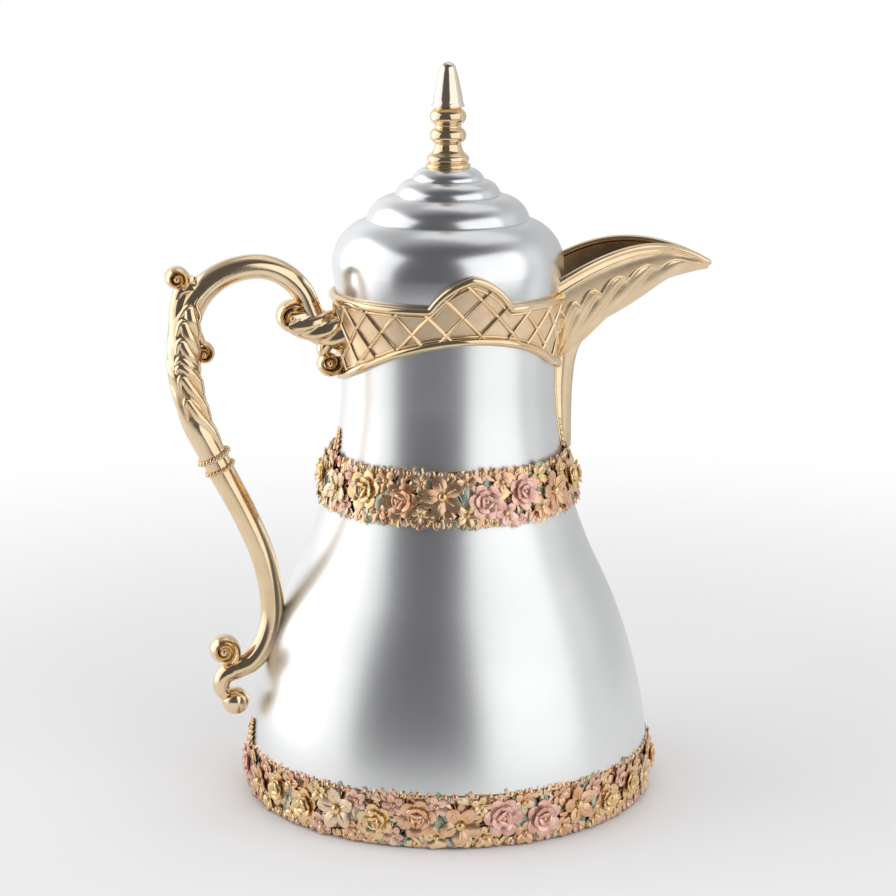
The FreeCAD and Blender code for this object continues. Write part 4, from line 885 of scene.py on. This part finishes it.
def spoutWall(share, across, inside):
    # plain wall of the beak before the flutes
    s = spoutSizes
    under, rim, half, floor = spoutLine(share)
    low, half = (floor, half - s["wall"]) if inside else (under, half)
    turn = across * math.pi / 2
    y = half * math.copysign(abs(math.sin(turn)) ** s["sideRound"], turn)
    root = math.sqrt(s["rootR"] ** 2 - y**2) - s["rootIn"]  # the root meets the collar's round wall
    return Vector((root + (s["tip"] - root) * share, y, rim - (rim - low) * math.cos(turn) ** s["keelRound"]))


def fanWave(place):
    # one at a flute's ridge, near nought in the groove beside it
    s = spoutSizes
    turn = math.atan2(place.z - s["fanZ"], place.x - s["fanX"])
    return math.sqrt(math.cos(turn * math.pi / math.radians(s["fanStep"])) ** 2 + s["ridgeSoft"])


def scallop(share):
    # height of the arched line under the rim, as a share of the side
    base, swing, blunt = spoutSizes["scallop"]
    return base + swing * fanWave(spoutWall(share, spoutSizes["scallopAt"], False)) ** blunt


def beadLine(share):
    # height of the plain bead above the arched line
    return spoutSizes["bead"]


def spoutSpot(share, across, inside):
    s = spoutSizes
    place = spoutWall(share, across, inside)
    if inside:
        return place
    turn = across * math.pi / 2
    fade = max(0.0, 1 - (abs(across) / scallop(share)) ** s["fluteEdge"])
    fade *= min(1.0, (1 - share) * s["fluteFade"])
    flute = fade * (s["fluteHigh"] * fanWave(place) - s["fluteSunk"])
    return place + Vector((s["fluteLean"], math.sin(turn), -math.cos(turn))) * flute


def beakShell(bm):
    # an outer and an inner sheet, joined along the wall's edge all round
    s = spoutSizes
    along, across = s["segments"]
    part = bmesh.new()
    for inside in (False, True):
        made = bmesh.ops.create_grid(part, x_segments=along, y_segments=across, size=1.0)["verts"]
        for face in {f for vert in made for f in vert.link_faces}:
            face.material_index = 1 if inside else 0
        for vert in made:
            share = (vert.co.x + 1) / 2 * s["end"]
            vert.co = spoutSpot(share, vert.co.y * s["edge"], inside)
    bmesh.ops.bridge_loops(part, edges=[e for e in part.edges if e.is_boundary])
    addPart(bm, part)


def beakRim(bm):
    # one roll from root to tip and back
    s = spoutSizes
    lift = Vector((0, 0, s["rimLift"]))
    rim = []
    for side in (-1, 1):
        shares = [i / s["rimSteps"] * s["rimEnd"] for i in range(s["rimSteps"] + 1)]
        edge = side * s["edge"]
        line = [spoutSpot(u, edge, False) * 0.5 + spoutSpot(u, edge, True) * 0.5 + lift for u in shares]
        rim += line if side < 0 else line[::-1]
    frames = pathFrames(rim, (0, 0, 1), [s["rimWide"]] * len(rim), [s["rimDeep"]] * len(rim))
    sweep(bm, frames, roundSection(12))


def beakLines(bm):
    # arched line and plain bead under the rim, on both sides
    s = spoutSizes
    first, span = s["lineEnd"]
    shares = [first + i / s["lineSteps"] * span for i in range(s["lineSteps"] + 1)]
    for side in (-1, 1):
        for height, thick in zip((scallop, beadLine), s["lineSizes"]):
            spots = [spoutSpot(u, side * height(u), False) for u in shares]
            sizes = [thick * (1 - s["lineThin"] * u) for u in shares]
            sweep(bm, pathFrames(spots, (0, 0, 1), sizes, sizes), roundSection(8))


def keelReach(z):
    # the tail's front line, eased into the beak's underside
    t, s = tailSizes, spoutSizes
    share = min(1.0, max(0.0, (z - t["low"]) / (s["sill"] - t["low"])))
    tail = shellRadius(min(z, t["wallTop"])) + t["stand"] + t["grow"] * share ** t["growBend"]
    tipFloor = s["tipRim"] - s["tipDeep"]
    fall = min(1.0, (tipFloor - z) / (tipFloor - s["rootLow"]))
    beak = s["root"] + (s["tip"] - s["root"]) * (1 - fall ** (1 / s["fall"])) - s["rootIn"]
    return (tail + beak + math.sqrt((tail - beak) ** 2 + t["blend"] ** 2)) / 2 - t["sunk"]


def beakTail(bm):
    # keel from the beak's underside to the waist band, with a roll and a row of beads down each edge
    t = tailSizes
    frames, edges = [], []
    for i in range(t["steps"] + 1):
        share = 1 - i / t["steps"]
        z = t["low"] + (t["high"] - t["low"]) * share
        wall = shellRadius(min(z, t["wallTop"])) - t["sunk"]
        half = t["half"] + (t["topHalf"] - t["half"]) * share ** t["halfBend"]
        deep = keelReach(z) - wall
        frames.append(Matrix(((0, deep, 0, wall), (half, 0, 0, 0), (0, 0, 1, z), (0, 0, 0, 1))))
        edges.append(Vector((math.sqrt(wall**2 - half**2) + t["edgeOut"], half, z)))
    sweep(bm, frames, keelSection)
    for side in (-1, 1):
        line = [Vector((p.x, p.y * side, p.z)) for p in edges[t["edgeFrom"]:]]
        sizes = [t["edge"]] * len(line)
        sweep(bm, pathFrames(line, (1, 0, 0), sizes, sizes), roundSection(8))
        for k in range(t["beads"]):
            spot = line[-t["beadStep"] * (k + 1)]
            ball(bm, (spot.x + t["edgeOut"], spot.y * t["beadIn"], spot.z), t["bead"] - t["beadLess"] * k)


def makeSpout():
    bm = bmesh.new()
    beakShell(bm)
    beakRim(bm)
    beakLines(bm)
    beakTail(bm)
    return finishPiece(bm, "beakSpout", "pot", [champagneGold, spoutInside], ["spout"],
                       sharp=55.0, merge=fineWeldGap)


makeSpout()


# handle: arch, leaf-wrapped grip, S-shaped shaft, scrolled foot and the arm to the collar
handleSizes = {"reach": 115.0, "archX": 84.0, "archEnd": 58.15, "top": 235.0, "spring": 205.0,
               "low": 190.0, "touch": (78.6, 85.0), "foot": (97.0, 57.0), "half": 5.6, "side": 6.4,
               "sides": 48, "perSpan": 8, "ends": (0.84, 0.16), "leafAt": 0.45, "leafLong": 0.14,
               "leafWide": 0.12, "leafDeep": 0.252, "leafSpan": (48, 76), "lobes": 2.5, "lobeWind": 13.0,
               "lobeHigh": 0.10, "lobeSunk": 0.04, "leafFade": (5, 6), "swingBend": 0.92, "ring": 2,
               "ringBeads": 24, "rings": ((0, 1.16, 1.15), (2, 1.08, 0.95)), "ball": (-95.6, 0, 42.6),
               "ballR": 6.1, "ballSegments": (28, 18)}
frondSizes = {"hook": ((3, 0.80, -0.52), (0, 0.90, -0.30), (3, 0.84, 0.22), (6, 0.58, 0.66), (9, 0.52, 0.70)),
              "radii": (0.9, 2.0, 3.1, 2.9, 1.3), "perSpan": 5, "step": 4, "less": 0.25, "reach": 10,
              "stopBefore": 6, "deep": 1.02}
voluteSizes = {"perTurn": 22, "eye": 0.42, "eyeOut": 0.8, "windIn": 0.72, "narrow": 0.12, "thin": 0.35,
               "sides": 10}
armSizes = {"near": 45.6, "far": 69.6, "low": 206.0, "rise": 6.5, "radius": 8.3, "less": 2.6,
            "wide": 1.04, "steps": 40, "strands": 2.5, "wind": 9.0, "sunk": 0.90, "high": 0.20,
            "riseBend": 1.4, "blunt": 0.8}
handleScrolls = {
    "archCorner": {"centre": (-117.6, 230.8), "radius": 4.9, "start": -60, "turns": 1.5, "half": 5.4,
                   "thick": 0.34},
    "grip": {"centre": (-106.6, 198.4), "radius": 4.2, "start": 95, "turns": 1.4, "half": 5.0, "way": -1},
    "foot": {"centre": (-100.6, 66.0), "radius": 6.2, "start": -75, "turns": 1.6, "half": 5.6, "thick": 0.36},
    "footBall": {"centre": (-95.6, 42.6), "radius": 4.6, "start": 160, "turns": 1.3, "half": 5.6, "way": -1,
                 "thick": 0.22},
    "armTop": {"centre": (-68.6, 212.6), "radius": 6.0, "start": 60, "turns": 1.5, "half": 6.4},
    "armFoot": {"centre": (-52.4, 192.4), "radius": 5.6, "start": 40, "turns": 1.5, "half": 5.4, "way": -1},
}
handleStems = {
    "gripBack": {"corners": [(-111.5, 0, 232.0), (-114.6, 0, 219.0), (-115.0, 0, 201.0), (-111.5, 0, 184.0)],
                 "radii": [2.6, 6.0, 6.0, 3.6], "flat": 0.92, "sides": 24},
    "ribbon": {"corners": [(-104, 0, 224.0), (-110.5, 0, 226.6), (-115.5, 0, 225.6), (-118.0, 0, 218.0)],
               "radii": [3.0, 3.8, 3.4, 2.2], "flat": 1.4},
    "gripCurl": {"corners": [(-114.0, 0, 210.0), (-109.5, 0, 207.5), (-106.6, 0, 202.6)],
                 "radii": [3.2, 2.2, 1.4], "flat": 1.5},
    "footCurl": {"corners": [(-94, 0, 57.6), (-100.0, 0, 54.8), (-101.6, 0, 49.0), (-98.0, 0, 43.5)],
                 "radii": [4.6, 4.2, 3.6, 3.0], "flat": 1.2},
    "armCurl": {"corners": [(-51.0, 0, 205.0), (-54.5, 0, 199.0), (-54.6, 0, 195.0)],
                "radii": [4.5, 3.4, 2.2], "flat": 1.4},
}
ribbonLine = [(-106.0, 0.86, 226.0), (-110.0, 0.95, 220.5), (-108.6, 0.95, 214.5), (-113.6, 1.0, 208.0),
              (-113.0, 1.0, 200.0)]  # y as a share of the handle's half width
ribbonRadii = [0.7, 1.1, 1.2, 1.2, 0.6]
crossways = Vector((0, 1, 0))


def handleLine():
    # corners of the centre line from the arm over the arch and down to the foot
    s = handleSizes
    corners = []
    for angle in (15, 40, 65, 90, 115, 140, 165):
        turn = math.radians(angle)
        span = s["archX"] - s["archEnd"] if angle < 90 else s["reach"] - s["archX"]
        z = s["spring"] + (s["top"] - s["spring"]) * math.sin(turn)
        corners.append(Vector((-s["archX"] + span * math.cos(turn), 0, z)))
    corners.append(Vector((-s["reach"], 0, (s["spring"] + s["low"]) / 2)))
    for share in (0.0, 0.2, 0.4, 0.6, 0.8):
        bent = share ** s["swingBend"]
        swing = bent * bent * (3 - 2 * bent)
        x = s["reach"] + (s["touch"][0] - s["reach"]) * swing
        corners.append(Vector((-x, 0, s["low"] + (s["touch"][1] - s["low"]) * share)))
    for angle in (0, 30, 60, 90):
        turn = math.radians(angle)
        x = s["foot"][0] + (s["touch"][0] - s["foot"][0]) * math.cos(turn)
        corners.append(Vector((-x, 0, s["touch"][1] + (s["foot"][1] - s["touch"][1]) * math.sin(turn))))
    return corners


def volute(bm, centre, radius, start, turns, half, way=1, thick=0.30):
    # a scroll that winds in to a raised eye, its axis across the handle
    v = voluteSizes
    count = int(turns * v["perTurn"])
    eye = radius * v["eye"]
    spots, wides, deeps = [], [], []
    for i in range(count + 1):
        share = i / count
        reach = radius * (1 - v["windIn"] * share)
        turn = math.radians(start) + way * fullTurn * turns * share
        spots.append(Vector((centre[0] + reach * math.cos(turn), 0, centre[1] + reach * math.sin(turn))))
        wides.append(half * (1 - v["narrow"] * share))
        deeps.append(radius * thick * (1 - v["thin"] * share))
    sweep(bm, pathFrames(spots, crossways, wides, deeps), roundSection(v["sides"]))
    ball(bm, (centre[0], 0, centre[1]), eye, stretch=(1, (half + v["eyeOut"]) / eye, 1))


def frond(bm, spine, side, wide, deep, size):
    # one lobe of the leaf: a hooked start on the spine, then a long swell towards the pot
    inward = (spine[-1] - spine[0]).normalized().cross(crossways)
    face = Vector((0, side, 0))
    hook, perSpan = frondSizes["hook"], frondSizes["perSpan"]
    corners = [spine[at] + face * wide * out + inward * deep * back for at, out, back in hook]
    radii = [r * size for r in frondSizes["radii"]]
    tube(bm, corners, radii, side=face + inward, perSpan=perSpan)


def beadRing(bm, points, at, wide, deep, beadR):
    # beads round the shaft
    out = crossways.cross((points[at + 1] - points[at - 1]).normalized())
    for j in range(handleSizes["ringBeads"]):
        turn = fullTurn * j / handleSizes["ringBeads"]
        spot = points[at] + crossways * math.cos(turn) * wide + out * math.sin(turn) * deep
        ball(bm, spot, beadR, segments=(8, 6))


def makeShaft(bm):
    # the grip's leaf runs from the arch's outer corner to the bead rings
    s, f = handleSizes, frondSizes
    points = smoothPath(handleLine(), s["perSpan"])
    start, stop = s["leafSpan"]
    wides, deeps = [], []
    for i in range(len(points)):
        share = i / (len(points) - 1)
        leaf = math.exp(-(((share - s["leafAt"]) / s["leafLong"]) ** 2))
        ends = s["ends"][0] + s["ends"][1] * math.sin(math.pi * share)
        wides.append(s["side"] * (ends + s["leafWide"] * leaf))
        deeps.append(s["half"] * (ends + s["leafDeep"] * leaf))

    def gadroon(i, k):
        # lobes that wind round the grip, fading in and out at the leaf's ends
        share = (i - start) / (stop - start)
        if not 0.0 < share < 1.0:
            return 1.0
        fade = min(1.0, share * s["leafFade"][0], (1 - share) * s["leafFade"][1])
        wave = abs(math.sin(s["lobes"] * (fullTurn * k / s["sides"]) + share * s["lobeWind"]))
        return 1.0 + fade * (s["lobeHigh"] * wave - s["lobeSunk"])

    sweep(bm, pathFrames(points, crossways, wides, deeps), roundSection(s["sides"]), relief=gadroon)
    for i in range(start - f["step"], stop - f["stopBefore"], f["step"]):
        size = 1.0 - f["less"] * (i - start) / (stop - start)
        for side in (-1, 1):
            frond(bm, points[i:i + f["reach"]], side, wides[i], deeps[i] * f["deep"], size)
    ring = stop + s["ring"]
    for after, grow, beadR in s["rings"]:
        beadRing(bm, points, ring + after, wides[ring] * grow, deeps[ring] * grow, beadR)


def makeArm(bm):
    # rope-ribbed bracket between the collar and the arch
    s, sides = armSizes, handleSizes["sides"]
    spots, radii = [], []
    for i in range(s["steps"] + 1):
        share = i / s["steps"]
        x = s["near"] + (s["far"] - s["near"]) * share
        spots.append(Vector((-x, 0, s["low"] + s["rise"] * share ** s["riseBend"])))
        radii.append(s["radius"] - s["less"] * share)

    def rope(i, k):
        wave = abs(math.sin(s["strands"] * (fullTurn * k / sides) + i / s["steps"] * s["wind"]))
        return s["sunk"] + s["high"] * wave ** s["blunt"]

    frames = pathFrames(spots, crossways, [r * s["wide"] for r in radii], radii)
    sweep(bm, frames, roundSection(sides), relief=rope)


def makeHandle():
    s = handleSizes
    bm = bmesh.new()
    makeShaft(bm)
    makeArm(bm)
    for scroll in handleScrolls.values():
        volute(bm, **scroll)
    for stem in handleStems.values():
        tube(bm, **stem)
    for side in (-1, 1):  # raised line between the ribbon and the leaf
        tube(bm, [(x, side * s["side"] * y, z) for x, y, z in ribbonLine], ribbonRadii, sides=8)
    ball(bm, s["ball"], s["ballR"], segments=s["ballSegments"])
    return finishPiece(bm, "scrollHandle", "pot", [champagneGold], ["handle"],
                       sharp=55.0, merge=fineWeldGap)


makeHandle()


# stopper with a raised right-hand thread of two starts
stopperSizes = {"noseLow": 188.2, "noseLip": 19.2, "lipTop": 191.2, "nose": 18.0, "low": 194.9,
                "body": 25.3, "inner": 23.1, "floor": 2.5, "flange": 31.0, "flangeH": 3.0, "cap": 223.0,
                "ease": 0.5, "steps": 96, "threadLow": 206.5, "lead": 12.0, "threadWide": 1.1,
                "threadHigh": 0.28, "perTurn": 60, "points": 52}


def makeStopper():
    s = stopperSizes
    ease, under, floor = s["ease"], s["cap"] - s["flangeH"], s["low"] + s["floor"]
    line = [(0.0, s["noseLow"]), (s["noseLip"] - ease, s["noseLow"]), (s["noseLip"], s["noseLow"] + ease)]
    line += [(s["noseLip"], s["lipTop"]), (s["nose"], s["lipTop"]), (s["nose"], s["low"])]
    line += [(s["body"], s["low"]), (s["body"], under), (s["flange"] - ease, under)]
    line += [(s["flange"], under + ease), (s["flange"], s["cap"])]
    line += [(s["inner"], s["cap"]), (s["inner"], floor), (0.0, floor)]
    bm = bmesh.new()
    turnProfile(bm, line, s["steps"], closed=False)
    for begin in (0.0, math.pi):
        spots = []
        for i in range(s["points"]):
            turn = i * fullTurn / s["perTurn"]
            x, y = s["body"] * math.cos(begin + turn), s["body"] * math.sin(begin + turn)
            spots.append(Vector((x, y, s["threadLow"] + s["lead"] * turn / fullTurn)))
        sweep(bm, surfaceFrames(spots, s["threadWide"], s["threadHigh"]), rollSection)
    return finishPiece(bm, "threadedStopper", "lid", [ivoryPlastic], ["stopper"],
                       sharp=40.0, merge=fineWeldGap)


makeStopper()


# pieces that keep the solid's own shape
carried = {"base_cover": ivoryPlastic, "neck_sleeve": ivoryPlastic, "inner_cap": ivoryPlastic,
           "base_screws": brightSteel, "anchor_ring": brightSteel, "handle_top_screws": brightSteel,
           "handle_foot_screw": brightSteel, "foot_ring": blackRubber, "liner_cushion": blackRubber,
           "neck_gasket": blackRubber, "stopper_seal": sealRubber, "glass_liner": silveredGlass}
for nodeName, finish in carried.items():
    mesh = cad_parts[nodeName].data
    mesh.materials.clear()
    mesh.materials.append(finish)
print("carried nodes finished:", len(carried))


# camera at the photograph's angle, in metres
viewSizes = {"azimuth": -12.0, "distance": 1.10, "height": 0.40, "aim": (0.0, 0.0, 0.152), "lens": 103.3,
             "sensor": 36.0, "near": 0.01}


def placeCamera():
    v = viewSizes
    turn = math.radians(v["azimuth"])
    camera = bpy.data.objects.new("camera", bpy.data.cameras.new("camera"))
    camera.location = (math.sin(turn) * v["distance"], -math.cos(turn) * v["distance"], v["height"])
    camera.rotation_euler = (Vector(v["aim"]) - camera.location).to_track_quat("-Z", "Y").to_euler()
    camera.data.lens = v["lens"]
    camera.data.sensor_width = v["sensor"]
    camera.data.clip_start = v["near"]
    scene.collection.objects.link(camera)
    scene.camera = camera


# floor: pale paper that fades into the white background
floorSizes = {"reach": 0.85, "fade": (0.22, 0.7225), "dark": (0.86, 0.86, 0.87),
              "light": (0.90, 0.90, 0.91), "cloud": 3.0, "detail": 3.0, "rough": 0.7, "segments": 96}


def makeFloor():
    s = floorSizes
    bm = bmesh.new()
    bmesh.ops.create_circle(bm, cap_ends=True, segments=s["segments"], radius=s["reach"])
    mesh = bpy.data.meshes.new("floor")
    bm.to_mesh(mesh)
    bm.free()
    floor = bpy.data.objects.new("floor", mesh)
    material, tree, shader, place = newMaterial("floorPaper")
    clouded(tree, place, shader, s["cloud"], s["dark"], s["light"], s["detail"])
    shader.inputs["Roughness"].default_value = s["rough"]
    far = tree.nodes.new("ShaderNodeVectorMath")
    far.operation = "LENGTH"
    tree.links.new(place, far.inputs[0])
    tree.links.new(remapped(tree, far.outputs["Value"], s["fade"], (1.0, 0.0), True), shader.inputs["Alpha"])
    mesh.materials.append(material)
    scene.collection.objects.link(floor)


# world: what metal mirrors is white behind the object and a dark room in front of it, with a grey ceiling
# and a grey corner behind the spout
worldSizes = {"room": (0.10, 0.10, 0.11), "fill": 0.68, "roomEdge": (-0.35, 0.25), "ceiling": 0.42,
              "ceilingEdge": (0.35, 0.85), "corner": 0.58, "cornerTurn": 36.0, "cornerEdge": (0.55, 0.95)}


def mathNode(tree, operation, first, second):
    node = tree.nodes.new("ShaderNodeMath")
    node.operation = operation
    node.use_clamp = True
    tree.links.new(first, node.inputs[0])
    tree.links.new(second, node.inputs[1])
    return node.outputs["Value"]


def glowOf(tree, colour, strength=1.0):
    glow = tree.nodes.new("ShaderNodeBackground")
    glow.inputs["Color"].default_value = (*colour, 1.0)
    glow.inputs["Strength"].default_value = strength
    return glow.outputs["Background"]


def mixOf(tree, factor, first, second):
    mix = tree.nodes.new("ShaderNodeMixShader")
    tree.links.new(factor, mix.inputs["Fac"])
    tree.links.new(first, mix.inputs[1])
    tree.links.new(second, mix.inputs[2])
    return mix.outputs["Shader"]


def facing(tree, heading, turn):
    # one straight behind the object from this angle, minus one straight in front
    dot = tree.nodes.new("ShaderNodeVectorMath")
    dot.operation = "DOT_PRODUCT"
    dot.inputs[1].default_value = (-math.sin(turn), math.cos(turn), 0.0)
    tree.links.new(heading, dot.inputs[0])
    return dot.outputs["Value"]


def makeWorld():
    s = worldSizes
    world = bpy.data.worlds.new("studio")
    world.use_nodes = True
    tree = world.node_tree
    tree.nodes.remove(tree.nodes["Background"])
    heading = tree.nodes.new("ShaderNodeTexCoord").outputs["Generated"]
    height = tree.nodes.new("ShaderNodeSeparateXYZ")
    tree.links.new(heading, height.inputs[0])
    turn = math.radians(viewSizes["azimuth"])
    behind = remapped(tree, facing(tree, heading, turn), s["roomEdge"], soft=True)
    ceiling = remapped(tree, height.outputs["Z"], s["ceilingEdge"], (1.0, s["ceiling"]), True)
    corner = facing(tree, heading, turn - math.radians(s["cornerTurn"]))
    corner = remapped(tree, corner, s["cornerEdge"], (1.0, s["corner"]), True)
    pale = mathNode(tree, "MULTIPLY", behind, mathNode(tree, "MULTIPLY", ceiling, corner))
    white = glowOf(tree, (1, 1, 1))
    mirrored = mixOf(tree, pale, glowOf(tree, s["room"]), white)
    path = tree.nodes.new("ShaderNodeLightPath").outputs
    mirrorRay = mathNode(tree, "ADD", path["Is Glossy Ray"], path["Is Transmission Ray"])
    lit = mixOf(tree, mirrorRay, glowOf(tree, (1, 1, 1), s["fill"]), mirrored)
    seen = mixOf(tree, path["Is Camera Ray"], lit, white)
    tree.links.new(seen, tree.nodes["World Output"].inputs["Surface"])
    scene.world = world


# soft boxes, placed by their angle from the camera, with glow as their brightness
lampAim = (0, 0, 0.15)
studioLamps = {"boxLeft": {"turn": -90, "lift": 0.45, "away": 1.1, "wide": 1.62, "tall": 1.5, "glow": 1.08},
               "boxRight": {"turn": 50, "lift": 0.45, "away": 1.1, "wide": 1.4, "tall": 1.5, "glow": 1.12},
               "boxTop": {"turn": 150, "lift": 1.35, "away": 0.45, "wide": 1.0, "tall": 0.8, "glow": 0.42}}


def softBox(name, turn, lift, away, wide, tall, glow):
    angle = math.radians(viewSizes["azimuth"] + turn)
    place = Vector((math.sin(angle) * away, -math.cos(angle) * away, lift))
    lamp = bpy.data.lights.new(name, "AREA")
    lamp.shape = "RECTANGLE"
    lamp.size = wide
    lamp.size_y = tall
    lamp.energy = glow * math.pi * wide * tall
    box = bpy.data.objects.new(name, lamp)
    box.location = place
    box.rotation_euler = (Vector(lampAim) - place).to_track_quat("-Z", "Y").to_euler()
    scene.collection.objects.link(box)


placeCamera()
makeFloor()
makeWorld()
for lampName, lampSizes in studioLamps.items():
    softBox(lampName, **lampSizes)
scene.view_settings.view_transform = "Standard"
print("studio ready")
